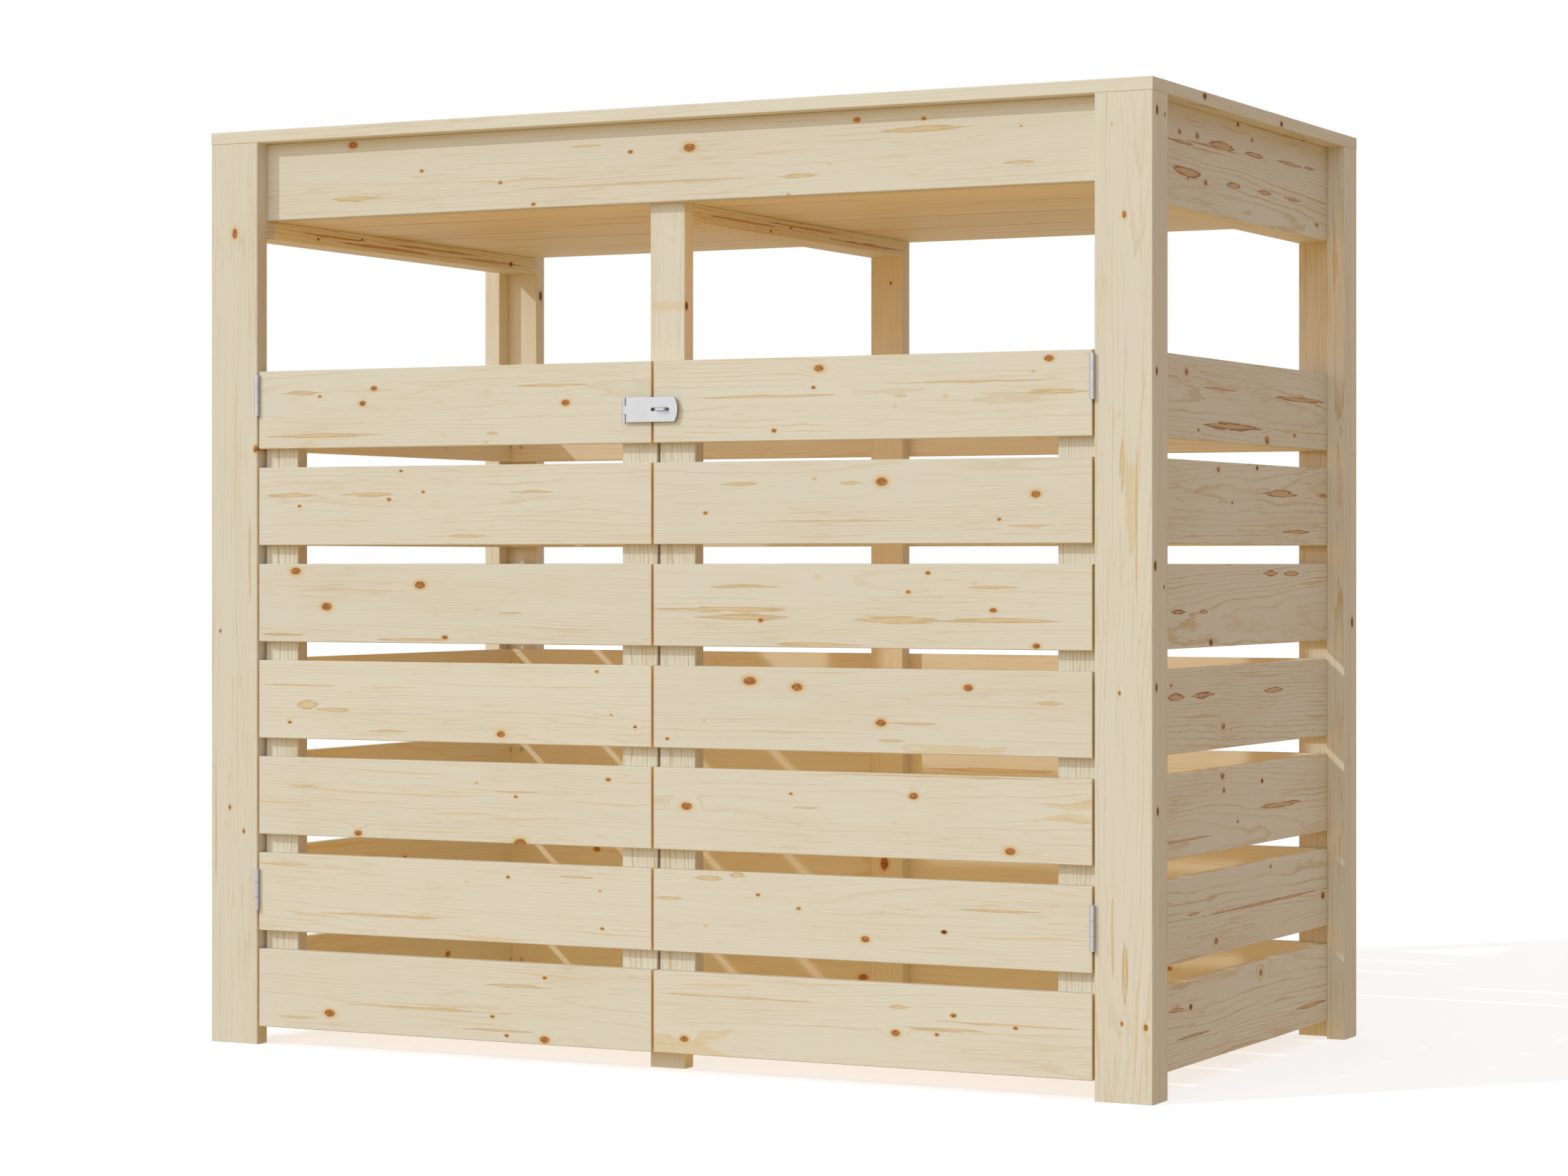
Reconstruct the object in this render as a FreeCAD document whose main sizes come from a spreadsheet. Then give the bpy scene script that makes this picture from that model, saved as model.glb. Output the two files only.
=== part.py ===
"""Double wheelie bin store in planed softwood.

Four corner posts, each two timbers screwed together as an angle, carry boarded sides and back,
a roof tray under a mitred rim, and two slatted doors on butt hinges that meet in the middle
under a hasp. +X is to the right of someone who faces the doors, +Y is away from them, +Z is up.
The origin is on the ground, under the middle of the whole.
"""
import FreeCAD, Part, Sketcher
import os
import re

SIZES = [
    ("overall_width", 1386, "outside of the posts, left to right"),
    ("overall_depth", 772, "outside of the posts, front to back"),
    ("overall_height", 1250, "ground to the top of the rim"),
    ("plank_width", 76, "post plank, seen from the front"),
    ("plank_thick", 24, "post plank, front to back"),
    ("batten_width", 26, "post batten, seen from the front"),
    ("batten_depth", 27, "post batten, front to back"),
    ("board_width", 106, "height of one slat or boarding board"),
    ("board_thick", 17, "thickness of slats, boards, fascias and rim"),
    ("board_gap", 25.5, "open gap between two boards"),
    ("ground_gap", 25, "ground to the lowest board"),
    ("fascia_width", 105, "height of the front and rear fascias"),
    ("rim_width", 76, "flat width of the rim boards"),
    ("arris", 1, "planed bevel along the long edges of the timber"),
    ("bearer_height", 24, "roof bearers, height"),
    ("centre_width", 51, "centre posts and centre bearer, width"),
    ("centre_thick", 24, "centre posts, front to back"),
    ("roof_thick", 12, "roof panel"),
    ("stile_width", 52, "door stiles, width"),
    ("stile_thick", 23, "door stiles, thickness"),
    ("stile_run_gap", 1, "door stiles to the front centre post"),
    ("side_gap", 3.4, "door to post, where the hinge leaves lie"),
    ("meeting_gap", 4, "between the two doors"),
    ("sheet_thick", 1.3, "metal of the hinge leaves, hasp base and staple base"),
    ("hinge_height", 57, "height of a butt hinge"),
    ("hinge_depth", 20, "how far back a hinge leaf reaches"),
    ("knuckle_radius", 3.3, "outside of the hinge knuckles"),
    ("leaf_inset", 0.6, "front of a leaf plate behind the face of the timber"),
    ("knuckle_play", 0.4, "end gap between two knuckles"),
    ("pin_radius", 1.5, "hinge pin"),
    ("pin_play", 0.05, "radial play of a pin in its knuckles"),
    ("upper_hinge_drop", 4.5, "top of the highest slat to the top of its hinge"),
    ("lower_hinge_drop", 22, "top of the second slat to the top of its hinge"),
    ("hinge_screw_back", 11, "face of the timber to the hinge screws"),
    ("hinge_screw_pitch", 20, "height between two hinge screws"),
    ("screw_head_radius", 2.8, "countersunk head"),
    ("screw_radius", 1.5, "screw shank"),
    ("screw_length", 16, "screw, head included"),
    ("screw_play", 0.15, "metal clear of the screw"),
    ("hasp_drop", 63, "top of the highest slat to the middle of the hasp"),
    ("hasp_height", 32, "strap and base, height"),
    ("hasp_axis_out", 39.5, "middle of the doors to the strap's pin"),
    ("hasp_axis_proud", 3.4, "strap's pin in front of the slats"),
    ("hasp_knuckle_radius", 3, "outside of the hasp's knuckles"),
    ("hasp_knuckle_length", 10.8, "strap's own middle knuckle"),
    ("hasp_pin_radius", 1.25, "hasp pin"),
    ("strap_reach", 79.3, "strap, from its pin to its tip"),
    ("strap_thick", 2, "strap, thickness"),
    ("strap_bulge", 4.7, "how far the rounded tip stands out"),
    ("strap_root", 4, "pin to the full height of the strap"),
    ("base_end_gap", 1.5, "hasp base and staple base to the edge of their slats"),
    ("base_screw_near", 14, "strap's pin to the two nearer screws of the hasp base"),
    ("base_screw_far", 28, "strap's pin to the far screw of the hasp base"),
    ("base_screw_rise", 9, "middle of the hasp to its two nearer screws"),
    ("slot_length", 27.2, "slot in the strap"),
    ("slot_height", 4.6, "slot in the strap"),
    ("slot_lead", 2.3, "middle of the slot ahead of the middle of the staple"),
    ("staple_out", 17, "middle of the doors to the middle of the staple"),
    ("staple_width", 16, "staple loop, outside"),
    ("staple_reach", 13.4, "staple loop, out from the slat"),
    ("staple_thick", 2, "staple loop, thickness of the strip"),
    ("staple_strip", 3, "staple loop, width of the strip"),
    ("staple_bend", 4, "staple loop, outer radius of its corners"),
    ("staple_base_height", 25, "staple base, height"),
    ("staple_screw_rise", 8, "middle of the hasp to a staple screw"),
]
BOARDS = 7
HINGE_KNUCKLES = 3
SCREW_FACET_COUNT = 8
LEFT, RIGHT = -1, 1
SHEET = "Sizes"
SPARE_CELL = "E1"

doc = FreeCAD.newDocument("bin_store")
sheet = doc.addObject("Spreadsheet::Sheet", SHEET)
for row, (alias, value, note) in enumerate(SIZES, start=1):
    sheet.set(f"A{row}", alias)
    sheet.set(f"B{row}", str(value))
    sheet.set(f"C{row}", note)
    sheet.setAlias(f"B{row}", alias)
doc.recompute()
ALIASES = {alias for alias, _, _ in SIZES}
nodes = {}


def formula(words):
    """Points each size name of a formula at its cell in the sheet."""
    def cell(match):
        name = match.group(0)
        return f"{SHEET}.{name}" if name in ALIASES else name
    return re.sub(r"[A-Za-z_]\w*", cell, str(words))


def bind(thing, **sizes):
    for name, words in sizes.items():
        thing.setExpression(name, formula(words))
    return thing


def place(thing, x="0", y="0", z="0", turn=None):
    """Binds a thing's place; turn is an axis and an angle."""
    if turn:
        thing.Placement = FreeCAD.Placement(FreeCAD.Vector(), FreeCAD.Rotation(*turn))
    for axis, words in (("x", x), ("y", y), ("z", z)):
        thing.setExpression(f".Placement.Base.{axis}", formula(words))
    return thing


def keep(name, thing, solids=1):
    """Takes a finished sub-part into the list of nodes."""
    thing.Label = name
    nodes[name] = (thing, solids)
    return thing


def group(name, things):
    """Joins like pieces, each its own solid, in one node."""
    bundle = doc.addObject("Part::Compound", name)
    bundle.Links = things
    return keep(name, bundle, len(things))


# Ways that a piece can be turned
UP = FreeCAD.Vector(0, 0, 1)
ACROSS = FreeCAD.Vector(0, 1, 0)
TO_PLUS_X = (ACROSS, 90)
TO_MINUS_X = (ACROSS, -90)
TO_PLUS_Y = (FreeCAD.Vector(1, 0, 0), -90)
CLOCKWISE, ANTICLOCKWISE = -1, 1

# Places that several pieces share
MIDDLE_Y = "staple_reach / 2"
FRONT = f"({MIDDLE_Y} - overall_depth / 2)"
BACK = f"({MIDDLE_Y} + overall_depth / 2)"
POST_TOP = "overall_height - board_thick"
ROOF_UNDER = f"({POST_TOP} - fascia_width)"
BEARER_UNDER = f"({ROOF_UNDER} - bearer_height)"
BOARD_PITCH = "(board_width + board_gap)"
INNER_SIDE = "(batten_width + board_thick)"
STILE_BACK = "(board_thick + stile_thick)"
CENTRE_FRONT = f"({FRONT} + {STILE_BACK} + stile_run_gap)"
CENTRE_REAR = f"({BACK} - plank_thick - board_thick - centre_thick)"
TOP_OF_DOORS = f"(ground_gap + {BOARDS} * board_width + {BOARDS - 1} * board_gap)"
PIN_OUT = "(overall_width / 2 - plank_width - side_gap / 2)"
PIN_Y = f"({FRONT} - knuckle_radius)"
HASP_X = "(-hasp_axis_out)"
HASP_Y = f"({FRONT} - hasp_axis_proud)"
HASP_Z = f"({TOP_OF_DOORS} - hasp_drop)"
SECOND_SLAT_TOP = f"(ground_gap + 2 * board_width + board_gap)"
HINGE_LEVELS = {
    "upper": f"({TOP_OF_DOORS} - upper_hinge_drop - hinge_height / 2)",
    "lower": f"({SECOND_SLAT_TOP} - lower_hinge_drop - hinge_height / 2)",
}
SCREW_STEPS = (-1, 0, 1)
BASE_SCREWS = (
    ("base_screw_near", "base_screw_rise"),
    ("base_screw_near", "(-base_screw_rise)"),
    ("base_screw_far", "0"),
)
STAPLE_SCREWS = ("staple_screw_rise", "(-staple_screw_rise)")


def from_side(side, inset, length):
    """Low X of a piece that starts an inset in from the left or right outside."""
    if side == LEFT:
        return f"-overall_width / 2 + ({inset})"
    return f"overall_width / 2 - ({inset}) - ({length})"


def from_end(front, inset, length):
    """Low Y of a piece that starts an inset in from the front or back outside."""
    if front:
        return f"{FRONT} + ({inset})"
    return f"{BACK} - ({inset}) - ({length})"


def plane_arrises(body, blank, grain):
    """Bevels the four straight edges that run with the grain, along X, Y or Z."""
    doc.recompute([blank])
    along = "xyz".index(grain)
    edges = [f"Edge{number}" for number, edge in enumerate(blank.Shape.Edges, start=1)
             if abs(edge.tangentAt(edge.FirstParameter)[along]) > 0.99]
    planed = body.newObject("PartDesign::Chamfer", f"{body.Name}_planed")
    planed.Base = (blank, edges)
    bind(planed, Size="arris")


def timber(name, low, size, grain):
    """A straight planed timber with bevelled long edges."""
    body = doc.addObject("PartDesign::Body", name)
    blank = body.newObject("PartDesign::AdditiveBox", f"{name}_blank")
    bind(blank, Length=size[0], Width=size[1], Height=size[2])
    plane_arrises(body, blank, grain)
    return place(body, *low)


def post(corner, side, front):
    """A corner post: a wide plank at the outside and a batten behind its outer edge."""
    plank_x = from_side(side, "0", "plank_width")
    plank_y = from_end(front, "0", "plank_thick")
    plank_size = ("plank_width", "plank_thick", POST_TOP)
    batten_x = from_side(side, "0", "batten_width")
    batten_y = from_end(front, "plank_thick", "batten_depth")
    batten_size = ("batten_width", "batten_depth", POST_TOP)
    plank, batten = f"{corner}_post_plank", f"{corner}_post_batten"
    keep(plank, timber(plank, (plank_x, plank_y, "0"), plank_size, "z"))
    keep(batten, timber(batten, (batten_x, batten_y, "0"), batten_size, "z"))


def centre_post(name, low_y):
    size = ("centre_width", "centre_thick", ROOF_UNDER)
    keep(name, timber(name, ("-centre_width / 2", low_y, "0"), size, "z"))


def board_low(number):
    """Underside of a board, counted from 0 at the ground."""
    return f"ground_gap + {number} * {BOARD_PITCH}"


def side_boards(name, side):
    length = "overall_depth - 2 * plank_thick"
    low_x = from_side(side, "batten_width", "board_thick")
    low_y = from_end(True, "plank_thick", "0")
    size = ("board_thick", length, "board_width")
    group(name, [timber(f"{name}_{n + 1}", (low_x, low_y, board_low(n)), size, "y")
                 for n in range(BOARDS)])


def rear_boards(name):
    length = f"overall_width - 2 * {INNER_SIDE}"
    low_x = from_side(LEFT, INNER_SIDE, "0")
    low_y = from_end(False, "plank_thick", "board_thick")
    size = (length, "board_thick", "board_width")
    group(name, [timber(f"{name}_{n + 1}", (low_x, low_y, board_low(n)), size, "x")
                 for n in range(BOARDS)])


def fascia_end(name, front):
    """A fascia between the side fascias, behind the post planks."""
    low_y = from_end(front, "plank_thick", "board_thick")
    size = (f"overall_width - 2 * {INNER_SIDE}", "board_thick", "fascia_width")
    low = (from_side(LEFT, INNER_SIDE, "0"), low_y, ROOF_UNDER)
    keep(name, timber(name, low, size, "x"))


def fascia_side(name, side):
    """A side fascia, deep enough to hide the bearer behind it."""
    low_x = from_side(side, "batten_width", "board_thick")
    size = ("board_thick", "overall_depth - 2 * plank_thick", "fascia_width + bearer_height")
    keep(name, timber(name, (low_x, from_end(True, "plank_thick", "0"), BEARER_UNDER), size, "y"))


def side_bearer(name, side):
    """A bearer under the roof's edge, from front plank to rear plank."""
    width = f"plank_width - {INNER_SIDE}"
    low_x = from_side(side, INNER_SIDE, width)
    size = (width, "overall_depth - 2 * plank_thick", "bearer_height")
    keep(name, timber(name, (low_x, from_end(True, "plank_thick", "0"), BEARER_UNDER), size, "y"))


def centre_bearer(name):
    low_y = f"{CENTRE_FRONT} + centre_thick"
    size = ("centre_width", f"{CENTRE_REAR} - ({low_y})", "bearer_height")
    keep(name, timber(name, ("-centre_width / 2", low_y, BEARER_UNDER), size, "y"))


def roof_panel(name):
    """The floor of the tray, on the bearers and inside the fascias."""
    inset = "plank_thick + board_thick"
    size = (f"overall_width - 2 * {INNER_SIDE}", f"overall_depth - 2 * ({inset})", "roof_thick")
    low = (from_side(LEFT, INNER_SIDE, "0"), from_end(True, inset, "0"), ROOF_UNDER)
    keep(name, box(name, low, size))


def measure(words):
    """The value of a formula, worked out in a spare cell of the sheet."""
    sheet.set(SPARE_CELL, f"={words}")
    doc.recompute([sheet])
    return float(sheet.get(SPARE_CELL))


def sketch_on(body, role, offset="0"):
    """A sketch on one of the body's own planes, moved along the plane's normal."""
    plane = next(f for f in body.Origin.OriginFeatures if f.Role == role)
    sketch = body.newObject("Sketcher::SketchObject", f"{body.Name}_sketch")
    sketch.AttachmentSupport = [(plane, "")]
    sketch.MapMode = "FlatFace"
    sketch.setExpression(".AttachmentOffset.Base.z", formula(offset))
    return sketch


def pin_point(sketch, line, point, **where):
    """Binds the x, the y or both of a line's or arc's point."""
    for kind, words in where.items():
        value = measure(words)
        constraint = Sketcher.Constraint(f"Distance{kind}", -1, 1, line, point, value)
        index = sketch.addConstraint(constraint)
        sketch.setExpression(f"Constraints[{index}]", formula(words))


def outline(sketch, corners, arcs=None):
    """Draws a closed outline; arcs maps a corner to the centre and turn of the arc it starts."""
    start, end, middle = 1, 2, 3
    arcs = arcs or {}
    spots = [FreeCAD.Vector(measure(x), measure(y), 0) for x, y in corners]
    ends = []
    for number, here in enumerate(spots):
        there = spots[(number + 1) % len(spots)]
        if number not in arcs:
            line = sketch.addGeometry(Part.LineSegment(here, there), False)
            ends.append((line, start, end))
            continue
        centre_x, centre_y, turn = arcs[number]
        centre = FreeCAD.Vector(measure(centre_x), measure(centre_y), 0)
        circle = Part.Circle(centre, FreeCAD.Vector(0, 0, 1), (here - centre).Length)
        angles = [circle.parameter(here), circle.parameter(there)]
        if turn == CLOCKWISE:
            angles.reverse()
        line = sketch.addGeometry(Part.ArcOfCircle(circle, *angles), False)
        ends.append((line, start, end) if turn == ANTICLOCKWISE else (line, end, start))
    for number, (x, y) in enumerate(corners):
        line, first, _ = ends[number]
        before, _, last = ends[number - 1]
        sketch.addConstraint(Sketcher.Constraint("Coincident", before, last, line, first))
        pin_point(sketch, line, first, X=x, Y=y)
        if number in arcs:
            pin_point(sketch, line, middle, X=arcs[number][0])
    return sketch


def pad(body, sketch, length, midplane=False):
    thick = body.newObject("PartDesign::Pad", f"{sketch.Name}_pad")
    thick.Profile = sketch
    thick.Midplane = midplane
    return bind(thick, Length=length)


def rim_board(name, run, x, y, angle):
    """A mitred rim board: outer edge on the body's own X axis, its width towards +Y."""
    body = doc.addObject("PartDesign::Body", name)
    outer, inner = f"{run} / 2", f"({run} / 2 - rim_width)"
    sketch = outline(sketch_on(body, "XY_Plane"), [
        (f"-{outer}", "0"), (outer, "0"), (inner, "rim_width"), (f"-{inner}", "rim_width"),
    ])
    plane_arrises(body, pad(body, sketch, "board_thick"), "x")
    keep(name, place(body, x, y, POST_TOP, (UP, angle)))


def slat_low_x(side):
    if side == LEFT:
        return "-overall_width / 2 + plank_width + side_gap"
    return "meeting_gap / 2"


def door(name, side):
    """Seven slats on two stiles; the stiles end level with the slats."""
    length = "overall_width / 2 - plank_width - side_gap - meeting_gap / 2"
    low_x = slat_low_x(side)
    for n in range(BOARDS):
        slat = f"{name}_slat_{n + 1}"
        size = (length, "board_thick", "board_width")
        keep(slat, timber(slat, (low_x, FRONT, board_low(n)), size, "x"))
    stile_size = ("stile_width", "stile_thick", f"{TOP_OF_DOORS} - ground_gap")
    stile_y = f"{FRONT} + board_thick"
    far_x = f"{low_x} + {length} - stile_width"
    hinge_x, meeting_x = (low_x, far_x) if side == LEFT else (far_x, low_x)
    for stile, x in ((f"{name}_hinge_stile", hinge_x), (f"{name}_meeting_stile", meeting_x)):
        keep(stile, timber(stile, (x, stile_y, "ground_gap"), stile_size, "z"))


def box(name, low, size):
    block = bind(doc.addObject("Part::Box", name), Length=size[0], Width=size[1], Height=size[2])
    return place(block, *low)


def cylinder(name, low, radius, height, turn=None):
    rod = bind(doc.addObject("Part::Cylinder", name), Radius=radius, Height=height)
    return place(rod, *low, turn)


def joined(name, things):
    whole = doc.addObject("Part::MultiFuse", name)
    whole.Shapes = things
    whole.Refine = True
    return whole


def cut(name, thing, tools):
    """Takes one or more tools away from a thing."""
    rest = doc.addObject("Part::Cut", name)
    rest.Base = thing
    rest.Tool = tools[0] if len(tools) == 1 else joined(f"{name}_tools", tools)
    rest.Refine = True
    return rest


def flat_sided(name, stations, low, turn):
    """A small round thing in a few flats, through stations of height and radius."""
    rings = []
    for number, (height, radius) in enumerate(stations):
        ring = doc.addObject("Part::RegularPolygon", f"{name}_ring_{number}")
        ring.Polygon = SCREW_FACET_COUNT
        bind(ring, Circumradius=radius)
        rings.append(place(ring, z=height))
    skin = doc.addObject("Part::Loft", name)
    skin.Sections = rings
    skin.Solid = True
    skin.Ruled = True
    return place(skin, *low, turn)


def hinge_leaf(name, timber_side, knuckles, x, z):
    """A butt hinge's leaf about its pin, with the leaf plate towards the timber on one side."""
    module = f"hinge_height / {HINGE_KNUCKLES}"
    low_x, low_z = "-side_gap / 2", "-hinge_height / 2"
    plate_y = "(knuckle_radius + leaf_inset)"
    metal = [box(f"{name}_plate", (low_x, plate_y, low_z),
                 ("sheet_thick", "hinge_depth", "hinge_height"))]
    for k in knuckles:
        ring_z = f"{low_z} + {k} * {module} + knuckle_play / 2"
        ring_length = f"{module} - knuckle_play"
        metal.append(box(f"{name}_neck_{k}", (low_x, "0", ring_z),
                         ("sheet_thick", plate_y, ring_length)))
        metal.append(cylinder(f"{name}_ring_{k}", ("0", "0", ring_z),
                              "knuckle_radius", ring_length))
    tools = [cylinder(f"{name}_bore", ("0", "0", low_z), "pin_radius + pin_play", "hinge_height")]
    for k in SCREW_STEPS:
        low = (f"{low_x} + sheet_thick", "knuckle_radius + hinge_screw_back",
               f"{k} * hinge_screw_pitch")
        tools.append(screw_hole(f"{name}_hole_{k + 1}", low, TO_MINUS_X))
    leaf = cut(name, joined(f"{name}_metal", metal), tools)
    return place(leaf, x, PIN_Y, z, (ACROSS, 0 if timber_side == LEFT else 180))


def screw_hole(name, low, turn):
    """A countersunk hole through sheet metal, from the face that the head sits in."""
    head, shank = "screw_head_radius + screw_play", "screw_radius + screw_play"
    return flat_sided(name, [("0", head), ("sheet_thick", shank)], low, turn)


def screw(name, low, turn):
    """A countersunk screw that starts at its head's face."""
    stations = [("0", "screw_head_radius"), ("sheet_thick", "screw_radius"),
                ("screw_length", "screw_radius")]
    return flat_sided(name, stations, low, turn)


def hinges(side_name, side):
    """Two butt hinges between a front post and its door."""
    pin_x = PIN_OUT if side == RIGHT else f"-{PIN_OUT}"
    post_leaves, door_leaves, pins = [], [], []
    for level, middle in HINGE_LEVELS.items():
        stem = f"{side_name}_{level}_hinge"
        evens, odds = range(0, HINGE_KNUCKLES, 2), range(1, HINGE_KNUCKLES, 2)
        post_leaves.append(hinge_leaf(f"{stem}_post_leaf", side, evens, pin_x, middle))
        door_leaves.append(hinge_leaf(f"{stem}_door_leaf", -side, odds, pin_x, middle))
        pins.append(cylinder(f"{stem}_pin", (pin_x, PIN_Y, f"{middle} - hinge_height / 2"),
                             "pin_radius", "hinge_height"))
    group(f"{side_name}_hinge_post_leaves", post_leaves)
    group(f"{side_name}_hinge_door_leaves", door_leaves)
    group(f"{side_name}_hinge_pins", pins)


def hinge_screws(stem, side, way):
    """Six screws from the gap beside a door, towards its post or towards the door."""
    low_x = f"{side} * {PIN_OUT} + {way} * (side_gap / 2 - sheet_thick)"
    low_y = f"{FRONT} + hinge_screw_back"
    turn = TO_PLUS_X if way == RIGHT else TO_MINUS_X
    return [screw(f"{stem}_{level}_screw_{k + 1}",
                  (low_x, low_y, f"{middle} + {k} * hinge_screw_pitch"), turn)
            for level, middle in HINGE_LEVELS.items() for k in SCREW_STEPS]


def hasp_base(name):
    """The hasp's fixed leaf, hidden under the closed strap, with a knuckle at each end."""
    face_y = "(hasp_axis_proud - sheet_thick)"
    end_length = "((hasp_height - hasp_knuckle_length) / 2 - knuckle_play)"
    plate_end = "(hasp_axis_out - meeting_gap / 2 - base_end_gap)"
    metal = [box(f"{name}_plate", ("strap_root", face_y, "-hasp_height / 2"),
                 (f"{plate_end} - strap_root", "sheet_thick", "hasp_height"))]
    upper_low = f"hasp_height / 2 - {end_length}"
    for end, low_z in (("lower", "-hasp_height / 2"), ("upper", upper_low)):
        metal.append(box(f"{name}_{end}_neck", ("0", face_y, low_z),
                         ("strap_root", "sheet_thick", end_length)))
        metal.append(cylinder(f"{name}_{end}_ring", ("0", "0", low_z),
                              "hasp_knuckle_radius", end_length))
    tools = [cylinder(f"{name}_bore", ("0", "0", "-hasp_height / 2"),
                      "hasp_pin_radius + pin_play", "hasp_height")]
    for k, (x, z) in enumerate(BASE_SCREWS):
        tools.append(screw_hole(f"{name}_hole_{k + 1}", (x, face_y, z), TO_PLUS_Y))
    leaf = cut(name, joined(f"{name}_metal", metal), tools)
    keep(name, place(leaf, HASP_X, HASP_Y, HASP_Z))


def hasp_strap(name):
    """The strap: rounded tip, slot for the staple and a rolled knuckle in the middle."""
    body = doc.addObject("PartDesign::Body", name)
    shoulder = "(strap_reach - strap_bulge)"
    tip_radius = "((hasp_height ^ 2 / 4 + strap_bulge ^ 2) / (2 * strap_bulge))"
    top, knuckle = "hasp_height / 2", "hasp_knuckle_length / 2"
    plate_plane = "hasp_knuckle_radius - strap_thick"
    sketch = outline(sketch_on(body, "XZ_Plane", plate_plane), [
        ("0", f"-{knuckle}"), ("strap_root", f"-{knuckle}"), ("strap_root", f"-{top}"),
        (shoulder, f"-{top}"), (shoulder, top),
        ("strap_root", top), ("strap_root", knuckle), ("0", knuckle),
    ], {3: (f"strap_reach - {tip_radius}", "0", ANTICLOCKWISE)})
    pad(body, sketch, "strap_thick")
    ring = body.newObject("PartDesign::AdditiveCylinder", f"{name}_knuckle")
    bind(ring, Radius="hasp_knuckle_radius", Height="hasp_knuckle_length")
    place(ring, z=f"-{knuckle}")
    bore = body.newObject("PartDesign::SubtractiveCylinder", f"{name}_bore")
    bind(bore, Radius="hasp_pin_radius + pin_play", Height="hasp_knuckle_length")
    place(bore, z=f"-{knuckle}")
    slot_middle = "(hasp_axis_out + staple_out - slot_lead)"
    half_run, half_rise = "(slot_length - slot_height) / 2", "slot_height / 2"
    near, far = f"{slot_middle} - {half_run}", f"{slot_middle} + {half_run}"
    slot = outline(sketch_on(body, "XZ_Plane", plate_plane), [
        (near, f"-{half_rise}"), (far, f"-{half_rise}"), (far, half_rise), (near, half_rise),
    ], {1: (far, "0", ANTICLOCKWISE), 3: (near, "0", ANTICLOCKWISE)})
    opening = body.newObject("PartDesign::Pocket", f"{name}_slot")
    opening.Profile = slot
    opening.Midplane = True
    bind(opening, Length="3 * strap_thick")
    keep(name, place(body, HASP_X, HASP_Y, HASP_Z))


def hasp_staple(name):
    """A strip bent to a loop that stands through the slot, on a plate screwed to the right door."""
    body = doc.addObject("PartDesign::Body", f"{name}_metal")
    plate = body.newObject("PartDesign::AdditiveBox", f"{name}_plate")
    half_run = "(staple_out - meeting_gap / 2 - base_end_gap)"
    bind(plate, Length=f"2 * {half_run}", Width="sheet_thick", Height="staple_base_height")
    place(plate, f"-{half_run}", "-sheet_thick", "-staple_base_height / 2")
    outer, inner = "staple_width / 2", "(staple_width / 2 - staple_thick)"
    crown, inner_crown = "-staple_reach", "(staple_thick - staple_reach)"
    bend_x = "(staple_width / 2 - staple_bend)"
    bend_y = "(staple_bend - staple_reach)"
    foot = "-sheet_thick / 2"
    sketch = outline(sketch_on(body, "XY_Plane"), [
        (f"-{outer}", foot), (f"-{inner}", foot), (f"-{inner}", bend_y),
        (f"-{bend_x}", inner_crown), (bend_x, inner_crown), (inner, bend_y),
        (inner, foot), (outer, foot), (outer, bend_y),
        (bend_x, crown), (f"-{bend_x}", crown), (f"-{outer}", bend_y),
    ], {
        2: (f"-{bend_x}", bend_y, ANTICLOCKWISE),
        4: (bend_x, bend_y, ANTICLOCKWISE),
        8: (bend_x, bend_y, CLOCKWISE),
        10: (f"-{bend_x}", bend_y, CLOCKWISE),
    })
    pad(body, sketch, "staple_strip", midplane=True)
    holes = [screw_hole(f"{name}_hole_{k + 1}", ("0", "-sheet_thick", z), TO_PLUS_Y)
             for k, z in enumerate(STAPLE_SCREWS)]
    keep(name, place(cut(name, body, holes), "staple_out", FRONT, HASP_Z))


def hasp_base_screws():
    head_y = f"{HASP_Y} + hasp_axis_proud - sheet_thick"
    return [screw(f"hasp_base_screw_{k + 1}",
                  (f"{HASP_X} + {x}", head_y, f"{HASP_Z} + {z}"), TO_PLUS_Y)
            for k, (x, z) in enumerate(BASE_SCREWS)]


def staple_screws():
    return [screw(f"staple_screw_{k + 1}",
                  ("staple_out", f"{FRONT} - sheet_thick", f"{HASP_Z} + {z}"), TO_PLUS_Y)
            for k, z in enumerate(STAPLE_SCREWS)]


for corner, side, front in (
    ("front_left", LEFT, True),
    ("front_right", RIGHT, True),
    ("rear_left", LEFT, False),
    ("rear_right", RIGHT, False),
):
    post(corner, side, front)
centre_post("front_centre_post", CENTRE_FRONT)
centre_post("rear_centre_post", CENTRE_REAR)
side_boards("left_side_boards", LEFT)
side_boards("right_side_boards", RIGHT)
rear_boards("rear_boards")
fascia_end("front_fascia", True)
fascia_end("rear_fascia", False)
fascia_side("left_fascia", LEFT)
fascia_side("right_fascia", RIGHT)
side_bearer("left_bearer", LEFT)
side_bearer("right_bearer", RIGHT)
centre_bearer("centre_bearer")
roof_panel("roof_panel")
rim_board("front_rim", "overall_width", "0", FRONT, 0)
rim_board("rear_rim", "overall_width", "0", BACK, 180)
rim_board("left_rim", "overall_depth", "-overall_width / 2", MIDDLE_Y, -90)
rim_board("right_rim", "overall_depth", "overall_width / 2", MIDDLE_Y, 90)
door("left_door", LEFT)
door("right_door", RIGHT)
hinges("left", LEFT)
hinges("right", RIGHT)
hasp_base("hasp_base")
hasp_strap("hasp_strap")
keep("hasp_pin", cylinder("hasp_pin", (HASP_X, HASP_Y, f"{HASP_Z} - hasp_height / 2"),
                          "hasp_pin_radius", "hasp_height"))
hasp_staple("hasp_staple")
group("left_post_screws", hinge_screws("left_post", LEFT, LEFT))
group("right_post_screws", hinge_screws("right_post", RIGHT, RIGHT))
group("left_door_screws", hinge_screws("left_door", LEFT, RIGHT) + hasp_base_screws())
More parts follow.
